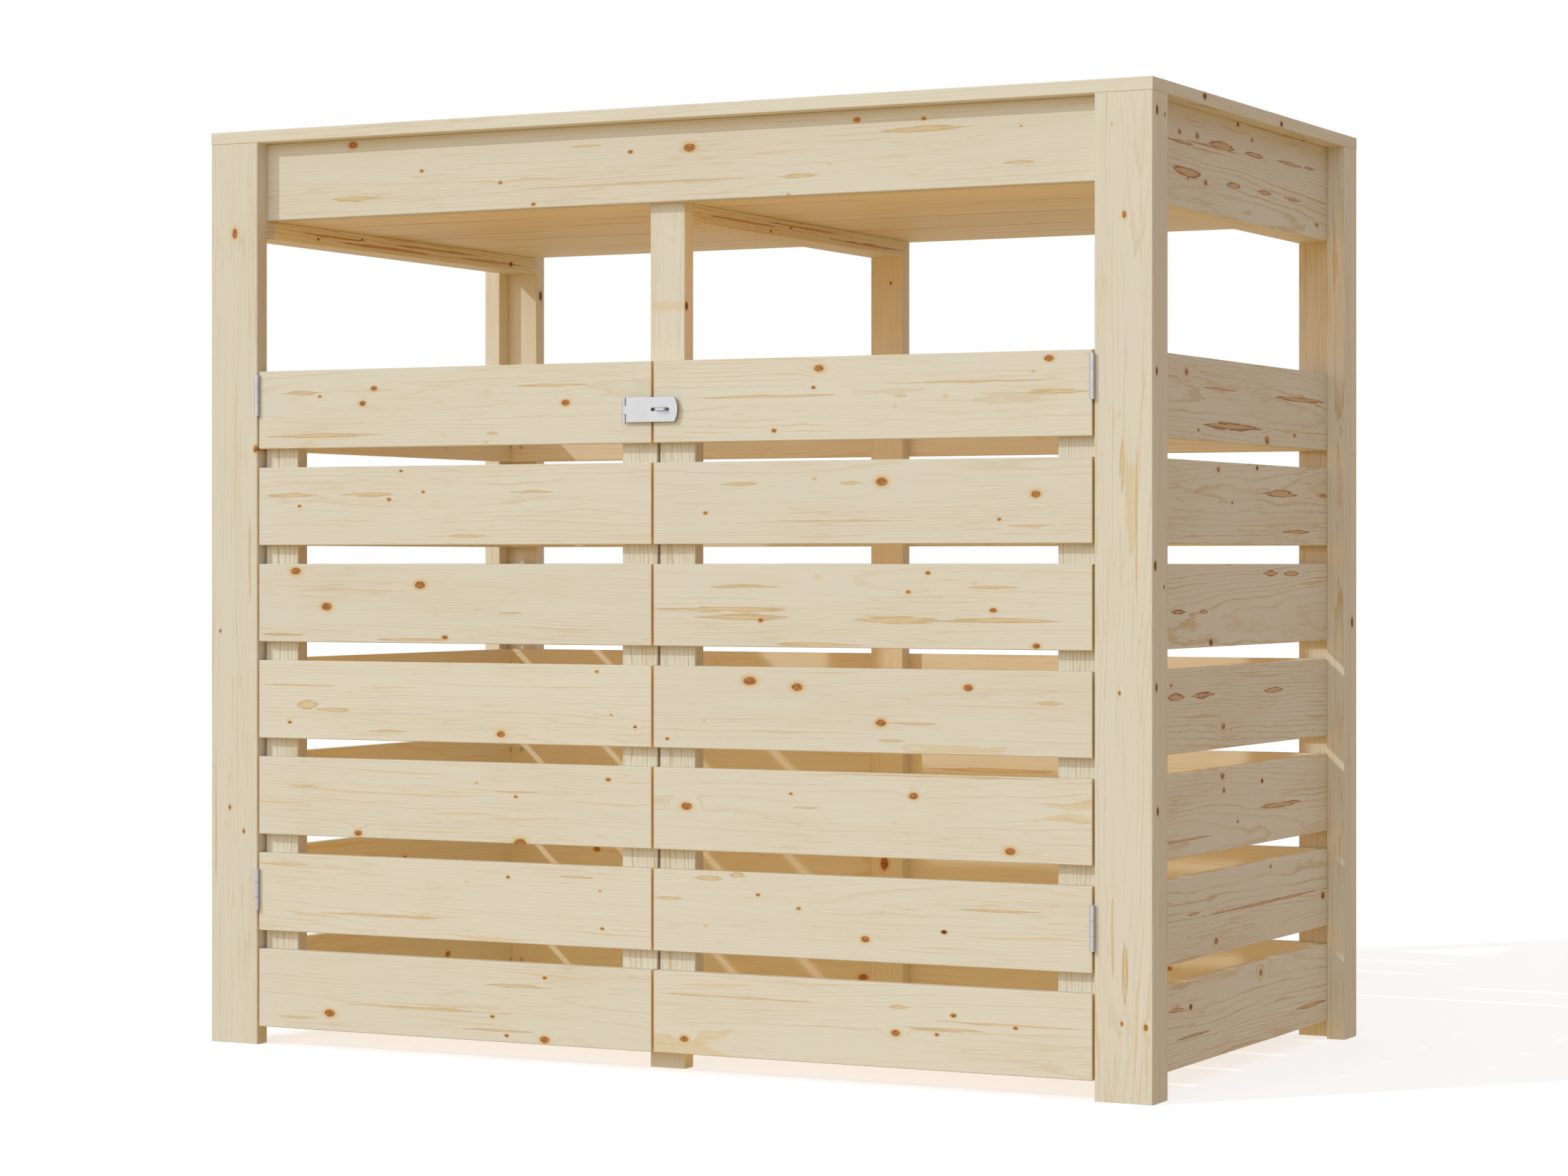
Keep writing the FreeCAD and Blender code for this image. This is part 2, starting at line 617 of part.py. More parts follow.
group("right_door_screws", hinge_screws("right_door", RIGHT, LEFT) + staple_screws())

doc.recompute()
for thing in doc.Objects:
    if {"Invalid", "Error"} & set(thing.State):
        raise RuntimeError(f"{thing.Name} could not be built: {thing.State}")
for name, (thing, solids) in nodes.items():
    shape = thing.Shape
    if shape.isNull() or not shape.isValid() or len(shape.Solids) != solids:
        raise RuntimeError(f"{name} is not {solids} sound solids: {len(shape.Solids)}")
os.makedirs("parts", exist_ok=True)
for name, (thing, _) in nodes.items():
    thing.Shape.exportStep(f"parts/{name}.step")
print(f"{len(nodes)} nodes, {sum(solids for _, solids in nodes.values())} solids")
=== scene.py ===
"""Looks of a slatted wheelie bin store in planed spruce, on a plain pale floor.

Every timber, leaf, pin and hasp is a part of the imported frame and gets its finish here. The screws are
made here: the small ones of hinges and hasp stand for the plain ones of the frame, and the ones that hold
board to board are set where timbers cross. Lengths are in metres, except where millimetres are named.
"""
import math
import random

import bmesh
import bpy
from mathutils import Matrix, Vector


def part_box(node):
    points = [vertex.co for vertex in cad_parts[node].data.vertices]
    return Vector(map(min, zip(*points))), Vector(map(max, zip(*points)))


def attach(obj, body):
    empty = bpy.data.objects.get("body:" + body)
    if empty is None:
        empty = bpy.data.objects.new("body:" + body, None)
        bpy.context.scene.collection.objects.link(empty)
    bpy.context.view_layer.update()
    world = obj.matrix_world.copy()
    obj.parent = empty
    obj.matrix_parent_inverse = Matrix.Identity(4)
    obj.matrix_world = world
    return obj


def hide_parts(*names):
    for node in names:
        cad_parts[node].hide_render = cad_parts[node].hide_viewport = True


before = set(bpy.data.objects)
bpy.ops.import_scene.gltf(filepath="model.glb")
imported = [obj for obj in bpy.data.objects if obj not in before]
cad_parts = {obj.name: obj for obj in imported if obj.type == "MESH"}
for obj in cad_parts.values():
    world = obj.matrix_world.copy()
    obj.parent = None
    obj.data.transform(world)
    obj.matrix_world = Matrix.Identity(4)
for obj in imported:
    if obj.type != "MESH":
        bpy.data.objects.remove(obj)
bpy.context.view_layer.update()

bl_info = {
    "name": "Wheelie bin store looks",
    "version": (1, 0, 0),
    "blender": (4, 5, 0),
    "location": "View3D > Sidebar > Bin store",
    "description": "Finishes a bin store's timber and metal, adds its screws and stages it",
    "category": "Object",
}

MM = 0.001
RIGHTWARDS, LEFTWARDS = Vector((1, 0, 0)), Vector((-1, 0, 0))
BACKWARDS, FORWARDS = Vector((0, 1, 0)), Vector((0, -1, 0))
UPWARDS = Vector((0, 0, 1))
DOORS = ("left_door", "right_door")
STILES = ("hinge_stile", "meeting_stile")
SIDES = ("left", "right")
ENDS = ("front", "rear")

# What the frame says
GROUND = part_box("front_left_post_plank")[0].z
POST_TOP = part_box("front_left_post_plank")[1].z
SLAT_LOW, SLAT_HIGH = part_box("left_door_slat_1")
BOARD_WIDTH = SLAT_HIGH.z - SLAT_LOW.z
BOARD_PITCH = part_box("left_door_slat_2")[0].z - SLAT_LOW.z
BOARDS = 7

# Along the grain, across the face and through the thickness, for each way that a timber lies
LIES = {
    "crosswise": "XZY",
    "lengthwise": "YZX",
    "upright": "ZXY",
    "flat_crosswise": "XYZ",
    "flat_lengthwise": "YXZ",
}
TIMBERS = {
    **{f"{end}_{side}_post_{piece}": "upright"
       for end in ENDS for side in SIDES for piece in ("plank", "batten")},
    **{f"{end}_centre_post": "upright" for end in ENDS},
    **{f"{end}_fascia": "crosswise" for end in ENDS},
    **{f"{end}_rim": "flat_crosswise" for end in ENDS},
    **{f"{side}_fascia": "lengthwise" for side in SIDES},
    **{f"{side}_rim": "flat_lengthwise" for side in SIDES},
    **{f"{side}_side_boards": "lengthwise" for side in SIDES},
    **{f"{place}_bearer": "lengthwise" for place in (*SIDES, "centre")},
    "roof_panel": "flat_crosswise",
    "rear_boards": "crosswise",
    **{f"{door}_slat_{number}": "crosswise" for door in DOORS for number in range(1, BOARDS + 1)},
    **{f"{door}_{stile}": "upright" for door in DOORS for stile in STILES},
}

# Knots, in millimetres: from the left, front or lower end, up or in from the lower edge, and radius.
# A board of a set has its number, counted from the ground, after the name of the set.
KNOTS = {
    "left_door_slat_7": ((186, 79, 3), (168, 59, 3.4), (484, 54, 4), (99, 70, 1.8)),
    "left_door_slat_6": ((210, 61, 2), (66, 53, 1.7), (264, 71, 1.7), (229, 99, 1.7)),
    "left_door_slat_5": ((60, 96, 5), (259, 78, 5), (110, 48, 5), (298, 8, 2.6)),
    "left_door_slat_4": ((385, 13, 4.2), (531, 97, 2), (588, 26, 1.9), (50, 22, 1.9)),
    "left_door_slat_3": ((161, 6, 4.2), (415, 1, 6), (548, 88, 2.5), (408, 62, 1.7)),
    "left_door_slat_2": ((539, 25, 1.8), (396, 87, 1.8)),
    "left_door_slat_1": ((115, 24, 4.6), (452, 7, 4.2), (452, 88, 1.9), (372, 33, 2), (394, 9, 1.9)),
    "right_door_slat_7": ((239, 91, 4.4), (555, 96, 3.7), (175, 13, 2.4), (231, 67, 1.9)),
    "right_door_slat_6": ((327, 78, 5.2), (537, 61, 4.3), (488, 30, 1.8), (76, 40, 2)),
    "right_door_slat_5": ((480, 49, 3), (538, 5, 3.2), (364, 71, 1.9), (391, 95, 2.2), (156, 34, 2.6)),
    "right_door_slat_4": ((140, 88, 5.6), (208, 81, 5.2), (446, 84, 4), (326, 38, 4.4), (20, 12, 1.8)),
    "right_door_slat_3": ((48, 57, 4.6), (371, 79, 4), (503, 14, 4.7), (199, 77, 1.7)),
    "right_door_slat_2": ((304, 28, 3.8), (152, 78, 1.9), (210, 63, 1.7)),
    "right_door_slat_1": ((346, 44, 4), (45, 20, 4), (403, 45, 1.8), (426, 70, 2.3), (510, 59, 1.9)),
    "front_left_post_plank": ((1110, 39, 4.2), (323, 31, 2.3), (291, 54, 2), (814, 73, 3.2), (565, 15, 2)),
    "front_right_post_plank": ((1083, 39, 2.6), (94, 67, 2.6), (97, 36, 1.7), (500, 33, 1.7)),
    "rear_centre_post": ((1066, 32, 1.8), (950, 20, 2.2), (220, 22, 6)),
    "front_fascia": (
        (692, 69, 5.4), (604, 67, 2.3), (283, 57, 2), (406, 36, 2.1), (457, 5, 2.1), (933, 92, 3),
        (1026, 89, 2.2), (173, 97, 4.6)),
    "left_fascia": ((300, 60, 4), (520, 90, 3), (120, 30, 3.4)),
    "rear_fascia": ((240, 30, 4.4), (700, 74, 5), (1040, 50, 3.6)),
    "right_fascia": (
        (196, 96, 3.8), (134, 95, 3.4), (226, 39, 4.2), (163, 40, 2.8), (398, 110, 2.6), (344, 125, 3),
        (655, 19, 2.5)),
    "right_side_boards 7": ((158, 85, 4.7), (455, 7, 5.2), (564, 17, 2.6), (200, 13, 2.4)),
    "right_side_boards 6": ((272, 96, 3.8), (323, 54, 2.1)),
    "right_side_boards 4": ((290, 28, 4.7), (105, 86, 2.2)),
    "right_side_boards 3": ((287, 96, 4), (292, 77, 3.6), (343, 34, 2.1)),
    "right_side_boards 2": ((264, 17, 4.2), (681, 43, 4.4), (469, 98, 2.2)),
    "right_side_boards 1": ((431, 92, 4.3),),
    "left_side_boards 7": ((240, 40, 4.2), (560, 70, 3.4)),
    "left_side_boards 5": ((130, 60, 4.8), (480, 22, 4)),
    "left_side_boards 4": ((350, 84, 4), (620, 30, 3)),
    "left_side_boards 2": ((90, 24, 3.8), (400, 66, 5)),
    "left_side_boards 1": ((520, 48, 4.4),),
    "rear_boards 7": ((330, 60, 4.2), (880, 30, 4.8)),
    "rear_boards 6": ((560, 82, 3.8), (1120, 50, 4.4)),
    "rear_boards 4": ((210, 30, 5), (700, 72, 3.6), (1010, 18, 4)),
    "rear_boards 3": ((460, 50, 4.4),),
    "rear_boards 2": ((820, 88, 4), (150, 66, 3.6)),
    "rear_boards 1": ((600, 24, 4.8), (1080, 60, 3.2)),
    "front_rim": ((209, 30, 3), (669, 40, 3.4), (1105, 52, 4)),
    "right_rim": ((620, 50, 3),),
    "left_rim": ((260, 44, 4.2), (600, 22, 3)),
    "rear_rim": ((420, 30, 4), (980, 48, 3.4)),
    "left_bearer": ((237, 16, 1.9), (125, 8, 1.9)),
    "centre_bearer": ((222, 5, 1.9), (282, 14, 1.9)),
}
# The same for dead knots, which are nearly black
BLACK_KNOTS = {
    "right_door_slat_2": ((413, 42, 2.4),),
    "right_side_boards 7": ((158, 85, 3),),
    "right_side_boards 6": ((417, 101, 3),),
    "right_side_boards 5": ((245, 6, 4.8),),
    "right_side_boards 3": ((436, 82, 2.9),),
    "right_side_boards 1": ((173, 73, 3.4),),
    "left_bearer": ((648, 9, 3.4),),
    "left_door_hinge_stile": ((905, 20, 3.4),),
    "left_door_meeting_stile": ((928, 42, 3.4),),
}
# The same for knots that come out at a timber's narrow side: along it, in from the front or lower face,
# and radius.
EDGE_KNOTS = {
    "front_right_post_plank": (
        (356, 17, 3.4), (507, 13, 3.6), (655, 9, 4.2), (892, 14, 3.4), (1210, 15, 3.8)),
    "front_right_post_batten": ((1207, 17, 1.8), (629, 14, 1.8)),
    "front_left_post_batten": ((989, 14, 4),),
    "front_centre_post": ((993, 5, 3.6),),
    "rear_left_post_plank": ((1070, 12, 4.4),),
    "rear_right_post_plank": ((576, 5, 4.6),),
    "right_rim": ((178, 11, 4.6), (463, 5, 3.6)),
}
# Resin streaks, in millimetres: start and end along the board, height of the middle, and half width.
STREAKS = {
    "left_door_slat_7": ((36, 102, 75, 3), (5, 210, 17, 2.6), (400, 530, 78, 2.4), (362, 382, 16, 2.4)),
    "left_door_slat_6": ((6, 100, 68, 2.8), (140, 225, 68, 3), (398, 470, 69, 2.2), (305, 362, 12, 2.4)),
    "left_door_slat_5": ((0, 86, 10, 2.4), (180, 300, 5, 2), (382, 420, 41, 1.8)),
    "left_door_slat_4": ((60, 96, 47, 6), (95, 150, 40, 3), (170, 240, 13, 2.2), (0, 130, 73, 1.6)),
    "left_door_slat_3": ((50, 100, 67, 1.6), (370, 445, 68, 1.6)),
    "left_door_slat_2": ((90, 320, 28, 2.2), (470, 530, 91, 2.2), (0, 80, 92, 1.8)),
    "left_door_slat_1": ((340, 460, 75, 2.6), (150, 400, 38, 1.6), (35, 95, 16, 2), (320, 440, 15, 1.8)),
    "right_door_slat_7": ((510, 612, 55, 3), (345, 362, 54, 2.4), (50, 290, 57, 1.8), (330, 560, 70, 1.4)),
    "right_door_slat_6": ((95, 150, 77, 2.2), (270, 300, 77, 2.4), (160, 380, 29, 1.4), (500, 560, 22, 1.6)),
    "right_door_slat_5": (
        (0, 215, 48, 3.4), (60, 200, 38, 4.4), (288, 420, 36, 5), (400, 580, 36, 3.2), (75, 190, 77, 2.6),
        (160, 310, 4, 2.4), (440, 515, 77, 1.8)),
    "right_door_slat_4": ((330, 420, 38, 1.6), (540, 575, 66, 2.4), (320, 360, 16, 1.8)),
    "right_door_slat_3": ((200, 240, 60, 1.4), (260, 560, 104, 1.6)),
    "right_door_slat_2": ((60, 100, 97, 3.4), (110, 135, 102, 4), (430, 540, 71, 1.8), (0, 45, 69, 2.2)),
    "right_door_slat_1": ((350, 470, 52, 2.4), (335, 365, 77, 2.4), (0, 240, 77, 1.4), (400, 612, 62, 1.4)),
    "front_left_post_plank": ((600, 720, 64, 1.8), (200, 400, 8, 1.4)),
    "front_right_post_plank": (
        (110, 200, 40, 4.4), (740, 815, 36, 3), (600, 800, 55, 1.6), (150, 260, 24, 2)),
    "front_fascia": (
        (135, 215, 24, 3.6), (970, 1095, 76, 3.6), (820, 880, 25, 4), (1130, 1180, 28, 2.6),
        (510, 560, 78, 2), (420, 800, 26, 1.4)),
    "right_fascia": (
        (236, 330, 91, 6), (370, 450, 91, 4), (480, 600, 92, 2.4), (600, 650, 93, 3), (105, 214, 48, 6),
        (294, 360, 44, 3.8), (418, 470, 45, 2.6), (520, 600, 45, 2.4), (90, 180, 83, 2.4),
        (150, 340, 87, 1.6)),
    "right_side_boards 7": ((205, 450, 21, 4.4), (480, 690, 66, 3), (210, 350, 68, 1.4)),
    "right_side_boards 6": ((420, 580, 68, 4.2), (500, 640, 18, 2.4), (660, 700, 68, 3)),
    "right_side_boards 5": ((100, 165, 46, 4.2), (200, 235, 45, 3), (440, 500, 93, 3.6), (520, 580, 93, 3.4)),
    "right_side_boards 4": ((90, 150, 71, 4), (180, 265, 71, 4.2), (440, 520, 70, 3)),
    "right_side_boards 3": ((430, 590, 47, 4.2), (0, 240, 22, 1.4)),
    "right_side_boards 2": ((200, 690, 52, 1.8), (160, 210, 58, 1.8)),
    "right_side_boards 1": ((120, 250, 36, 1.8), (570, 690, 29, 2.6), (95, 150, 74, 2.2)),
    "left_bearer": ((60, 260, 14, 1.6), (180, 420, 8, 1.6), (330, 560, 15, 1.8), (500, 690, 9, 1.4)),
    "centre_bearer": ((40, 240, 12, 1.6), (220, 430, 17, 1.6), (400, 650, 8, 1.8)),
    "roof_panel": (
        (60, 420, 120, 3.4), (300, 760, 235, 3.4), (520, 980, 80, 3), (760, 1180, 330, 3.4),
        (120, 560, 400, 4), (640, 1100, 500, 4), (900, 1240, 180, 3), (200, 640, 560, 4), (30, 300, 300, 3),
        (820, 1150, 610, 3.4), (420, 600, 160, 3)),
    "left_side_boards 6": ((200, 330, 60, 3),),
    "left_side_boards 3": ((300, 520, 34, 3),),
    "rear_boards 5": ((400, 640, 50, 3.4), (900, 1010, 24, 2.6)),
    "rear_boards 3": ((700, 930, 70, 3),),
}
# The scale of a sheet's figure: below 1 it is broader than on a board, as veneer is
BROAD_GRAIN = {"roof_panel": 0.4}
# How much stronger than usual a timber's rings show
BOLD_GRAIN = {
    "right_fascia": 2.0,
    "right_side_boards": 1.9,
    "right_rim": 1.9,
    "left_bearer": 2.2,
    "centre_bearer": 2.2,
    "roof_panel": 1.7,
    "front_left_post_batten": 1.4,
    "front_right_post_batten": 1.4,
    "rear_right_post_batten": 1.6,
    "rear_right_post_plank": 1.4,
    "rear_centre_post": 1.3,
    **{f"{door}_{stile}": 2.0 for door in DOORS for stile in STILES},
}

# Places, directions and colours of the stage, as solved from the photo's edges and shades
CAMERA_PLACE = Vector((2.4097, -4.7427, 0.660))
CAMERA_AIM = Vector((-0.4532, 0.8914, 0))
CAMERA_SHIFT = -0.01674
SUN_COLOUR = (0.90, 0.98, 1.0)
SUN_TRAVEL = Vector((0.559, 0.651, -0.514))
FILL_COLOUR = (0.872, 0.979, 1.0)
FILL_TRAVEL = Vector((0.06, 0.995, -0.05))
FILL_SIZE = math.radians(60)
FLOOR_GREY = 0.50
FLOOR_GLOW = 0.66
BAY_WATTS = 3.0
BAY_CLEARANCE = 0.0005
WHITE = (1.0, 1.0, 1.0, 1.0)

LENGTH = {"subtype": "DISTANCE", "unit": "LENGTH"}


def colour_property(name, description, default, highest=1.0):
    return bpy.props.FloatVectorProperty(
        name=name, description=description, subtype="COLOR", size=3, min=0, max=highest, default=default)


def number_property(name, description, default, lowest, highest, **kind):
    return bpy.props.FloatProperty(
        name=name, description=description, default=default, min=lowest, max=highest, **kind)


class PlanedWood(bpy.types.PropertyGroup):
    pale: colour_property("Pale wood", "Early wood between the rings", (0.775, 0.713, 0.577))
    late: colour_property("Ring lines", "Late wood lines along the grain", (0.610, 0.450, 0.235))
    resin: colour_property("Resin", "Amber streaks along the grain", (0.720, 0.510, 0.215))
    halo: colour_property("Knot halo", "Wood stained around a knot", (0.740, 0.490, 0.190))
    knot: colour_property("Knot", "Heart of a knot", (0.480, 0.195, 0.040))
    knot_dark: colour_property("Knot rings", "Dark rings in a knot", (0.130, 0.040, 0.012))
    # End grain: the ends' own colour, made brighter and more orange as a painted glow that stands in for warm
    # light bounced into the slits
    end_grain_and_painted_glow: colour_property("End grain", "Sawn ends of the boards", (0.950, 0.670, 0.300))
    ring_gap: number_property("Ring gap", "From one year's ring to the next, in millimetres", 3.6, 0.5, 12)
    roughness: number_property("Roughness", "Roughness of the planed faces", 0.62, 0, 1, subtype="FACTOR")


class ZincPlate(bpy.types.PropertyGroup):
    tint: colour_property("Zinc", "Colour of hinges, hasp and screws", (0.495, 0.480, 0.490))
    roughness: number_property("Roughness", "Roughness of the zinc", 0.42, 0, 1, subtype="FACTOR")


class ScrewSizes(bpy.types.PropertyGroup):
    head_radius: number_property(
        "Head radius", "Radius of a board screw's head", 0.0036, 0.001, 0.01, **LENGTH)
    head_rise: number_property(
        "Head rise", "How far a board screw's head stands proud", 0.0002, 0, 0.002, **LENGTH)
    board_spread: number_property(
        "Spread on boards", "Half the height between two screws of a board", 0.030, 0.01, 0.05, **LENGTH)
    stile_spread: number_property(
        "Spread on stiles", "Half the width between two screws of a slat", 0.012, 0.005, 0.02, **LENGTH)


class StageSettings(bpy.types.PropertyGroup):
    sun_strength: number_property("Sun", "Strength of the sun lamp", 1.16, 0, 10)
    fill_strength: number_property("Fill", "Strength of the soft light from the front", 1.38, 0, 10)
    sky: colour_property("Sky", "Soft light from overhead", (0.755, 0.695, 0.630), 4)
    horizon: colour_property("Horizon", "Soft light from low down, all round", (0.240, 0.275, 0.420), 4)
    ground_light: colour_property(
        "Ground light", "Soft light that comes back up from the ground", (0.520, 0.360, 0.150), 4)
    bay_light: colour_property(
        "Bay light", "Warm light inside, for what the boards throw on each other", (0.580, 0.290, 0.010), 4)
    sun_size: number_property(
        "Sun size", "Angle that the sun fills", math.radians(0.9), 0, 0.5, subtype="ANGLE", unit="ROTATION")
    floor_size: number_property("Floor", "Side of the floor", 200, 4, 400, **LENGTH)
    lens: number_property("Lens", "Focal length in millimetres on a 36 mm frame", 88.32, 20, 300)


def maths(operation):
    """A method of Wire that adds one Math node."""
    def method(self, *others):
        return add_node(self.tree, "ShaderNodeMath", dict(enumerate((self, *others))), operation=operation)
    return method


class Wire:
    """A shader socket: arithmetic on it adds Math nodes to its tree."""

    def __init__(self, tree, socket):
        self.tree = tree
        self.socket = socket

    __add__ = __radd__ = maths("ADD")
    __mul__ = __rmul__ = maths("MULTIPLY")
    __sub__ = maths("SUBTRACT")
    __truediv__ = maths("DIVIDE")
    __abs__ = maths("ABSOLUTE")
    floor = maths("FLOOR")
    fraction = maths("FRACT")
    root = maths("SQRT")
    least = maths("MINIMUM")
    most = maths("MAXIMUM")

    def __rsub__(self, other):
        return add_node(self.tree, "ShaderNodeMath", {0: other, 1: self}, operation="SUBTRACT")

    def step(self, low, high):
        """0 below low, 1 above high and a smooth rise between."""
        values = {"Value": self, "From Min": low, "From Max": high}
        return add_node(self.tree, "ShaderNodeMapRange", values, interpolation_type="SMOOTHSTEP")


def add_node(tree, kind, values, output=0, **settings):
    """Adds a node, sets it, fills its inputs with numbers, colours or links, and gives one output."""
    node = tree.nodes.new(kind)
    for name, setting in settings.items():
        setattr(node, name, setting)
    for name, value in values.items():
        if isinstance(value, Wire):
            value = value.socket
        if isinstance(value, bpy.types.NodeSocket):
            tree.links.new(value, node.inputs[name])
        else:
            node.inputs[name].default_value = value
    return None if output is None else Wire(tree, node.outputs[output])


def blend(tree, share, first, second, how="MIX"):
    """Mixes two colours, each a wire or three numbers."""
    factor, colour_a, colour_b, result = 0, 6, 7, 2
    ends = [end if isinstance(end, Wire) else (*end, 1.0) for end in (first, second)]
    values = {factor: share, colour_a: ends[0], colour_b: ends[1]}
    return add_node(tree, "ShaderNodeMix", values, result, data_type="RGBA", blend_type=how)


def new_material(name):
    """A material with an empty tree."""
    material = bpy.data.materials.new(name)
    material.use_nodes = True
    material.node_tree.nodes.clear()
    return material, material.node_tree


def end_tree(tree, shader, kind="ShaderNodeOutputMaterial"):
    tree.links.new(shader.socket, tree.nodes.new(kind).inputs["Surface"])


def channels(tree, colour):
    """A colour's red, green and blue."""
    return [add_node(tree, "ShaderNodeSeparateColor", {"Color": colour}, channel)
            for channel in ("Red", "Green", "Blue")]


def declare(tree, way, kinds):
    """Gives a group its inputs or outputs, by name and kind."""
    for name, kind in kinds.items():
        tree.interface.new_socket(name, in_out=way, socket_type=f"NodeSocket{kind}")


def point(tree, x, y, z=0.0):
    return add_node(tree, "ShaderNodeCombineXYZ", {"X": x, "Y": y, "Z": z})


def noise(tree, place, detail, roughness=0.5):
    return add_node(tree, "ShaderNodeTexNoise", {
        "Vector": place, "Scale": 1.0, "Detail": detail, "Roughness": roughness})


# A log's pith: how far from a board's middle at most, its depth, how much that varies, and its slope
PITH_ASIDE, PITH_DEPTH, PITH_VARIES, PITH_LEAN = 0.08, -0.022, 0.05, 0.025
# How much lighter or darker than usual a board is at most
TONE_SPREAD = 0.025
GRAIN_INPUTS = ("Along", "Across", "Depth", "Seed", "Pith across", "Pith depth", "Lean", "Tone",
                "Knot", "Black knot", "Push", "Resin", "Ring contrast", "End")


def grain_group(wood):
    """Growth rings around a pith, cut by the faces of a board, with knots, pins and resin."""
    tree = bpy.data.node_groups.new("Spruce grain", "ShaderNodeTree")
    declare(tree, "INPUT", dict.fromkeys(GRAIN_INPUTS, "Float"))
    declare(tree, "OUTPUT", {"Color": "Color", "Roughness": "Float", "Height": "Float"})
    given = tree.nodes.new("NodeGroupInput")
    entry = {name: Wire(tree, given.outputs[name]) for name in GRAIN_INPUTS}
    along, across, depth, seed = (entry[name] for name in GRAIN_INPUTS[:4])

    def drawn_out(lengthwise, log, fineness, detail, roughness=0.5):
        """Noise that is stretched along the grain, and unlike in each log."""
        place = point(tree, along * lengthwise + seed * log, across * fineness, depth * fineness)
        return noise(tree, place, detail, roughness)

    # Waves of several lengths, which bend the rings, spread the resin and colour the fibres
    slow = drawn_out(2.2, 7.1, 14, 1.0)
    quick = drawn_out(9, 3.3, 60, 3.0, 0.55)
    jag = drawn_out(45, 1.9, 420, 2.0)
    strand = drawn_out(15, 2.7, 500, 2.0, 0.6)
    hairs = drawn_out(5, 1.3, 170, 1.5)
    cloud = drawn_out(3.5, 2.1, 16, 2.0)
    fibre = drawn_out(30, 1, 1200, 2.0, 0.6)

    # Pin knots, one in some of the cells of a stretched net
    net = {"Vector": point(tree, along * 15 + seed * 5.3, across * 27, seed * 2.9), "Scale": 1.0}
    pin_distance = add_node(tree, "ShaderNodeTexVoronoi", net, "Distance")
    lots, sizes, darks = channels(tree, add_node(tree, "ShaderNodeTexVoronoi", net, "Color"))
    pin_near = pin_distance / (sizes * 0.026 + 0.014) + lots.step(0.38, 0.40) * 40

    # Rings: distance from the leaning pith in millimetres, bent by the waves and the knots
    side = across + along * entry["Lean"] - entry["Pith across"]
    rise = depth + along * entry["Lean"] * 0.7 - entry["Pith depth"]
    distance = (side * side + rise * rise).root() / MM
    rings = distance + (slow - 0.5) * 16 + (quick - 0.5) * 5 + (jag - 0.5) * 0.9 + entry["Push"]
    rings = rings + (1 - pin_near.step(0.0, 6.0)) * 1.5
    year = rings / wood.ring_gap
    within = year.fraction()
    number = year.floor()
    contrast = entry["Ring contrast"]
    even = contrast * 0.30 - 0.15
    strength = noise(tree, point(tree, along * 3.5 + seed, number * 0.73, seed * 1.7), 1.0).step(0.42, 0.70)
    line = within.step(0.62, 0.92) * (1 - within.step(0.94, 1.0)) * (strength * 0.70 + even)
    hair = (1 - abs(hairs - 0.5).step(0.0, 0.030)) * cloud.step(0.35, 0.60)
    colour = blend(tree, (line * 0.48).most(hair * 0.36) * contrast, wood.pale, wood.late)
    colour = blend(tree, (cloud - 0.47) * 0.5 * contrast, colour, wood.late)

    # Resin: parts of some rings, and listed streaks, in strands with darker outlines
    swell = noise(tree, point(tree, along * 4.0 + seed * 4.4, number * 1.37, seed), 1.0).step(0.62, 0.80)
    fill = within - (1 - swell)
    ring_fill = fill.step(0.0, 0.10) * (1 - within.step(0.94, 1.0)) * swell.step(0.0, 0.2)
    lens = entry["Resin"] * (contrast * 0.6 + 0.6) + (strand - 0.5) * 2.6 + (quick - 0.5) * contrast * 1.7
    hand_fill = lens.step(0.0, 0.25)
    resin = (ring_fill * 0.50).most(hand_fill * 0.80)
    deep = blend(tree, (contrast - 1) * 0.55, wood.resin, wood.knot)
    colour = blend(tree, resin * (contrast * 0.20 + 0.60), colour, deep)
    rim = lens.step(-0.1, 0.25) * (1 - lens.step(0.40, 0.90)) * (contrast * 0.90 - 0.65)
    outline = blend(tree, 0.4, wood.knot, wood.knot_dark)
    colour = blend(tree, rim, colour, outline)

    # Knots and pins: a stained halo, a brown heart and dark spots in it; dead knots are black
    knot_near = entry["Knot"] + (quick - 0.5) * 0.8 + (jag - 0.5) * 0.4
    stain = (1 - knot_near.step(0.8, 2.2)).most((1 - pin_near.step(0.6, 3.2)) * 0.7)
    colour = blend(tree, stain * 0.75, colour, wood.halo)
    heart = (1 - knot_near.step(0.85, 1.12)).most((1 - pin_near.step(0.6, 1.3)) * darks.step(0.3, 0.8))
    spots = drawn_out(240, 1, 280, 1.0).step(0.45, 0.58)
    heart_colour = blend(tree, spots * 0.50 + (contrast - 1) * 0.45, wood.knot, wood.knot_dark)
    colour = blend(tree, heart, colour, heart_colour)
    black_near = entry["Black knot"] + (quick - 0.5) * 0.5 + (jag - 0.5) * 0.4
    colour = blend(tree, (1 - black_near.step(0.9, 2.2)) * 0.6, colour, wood.halo)
    colour = blend(tree, 1 - black_near.step(0.85, 1.15), colour, wood.knot_dark)

    # Sawn ends: partly the end grain's own colour and partly a painted warm glow, brightened to stand in for
    # light bounced between boards in the slits; then the board's own tone and the fibres
    # The sawn ends get the painted warm glow here, with ring lines in resin colour over it
    end_grain_and_glow_lines = blend(tree, line * 0.5, wood.end_grain_and_painted_glow, wood.resin)
    colour = blend(tree, entry["End"] * 0.9, colour, end_grain_and_glow_lines)
    level = entry["Tone"] + (fibre - 0.5) * 0.06 + (cloud - 0.5) * 0.05
    grey = add_node(tree, "ShaderNodeCombineColor", {"Red": level, "Green": level, "Blue": level})
    colour = blend(tree, 1.0, colour, grey, "MULTIPLY")

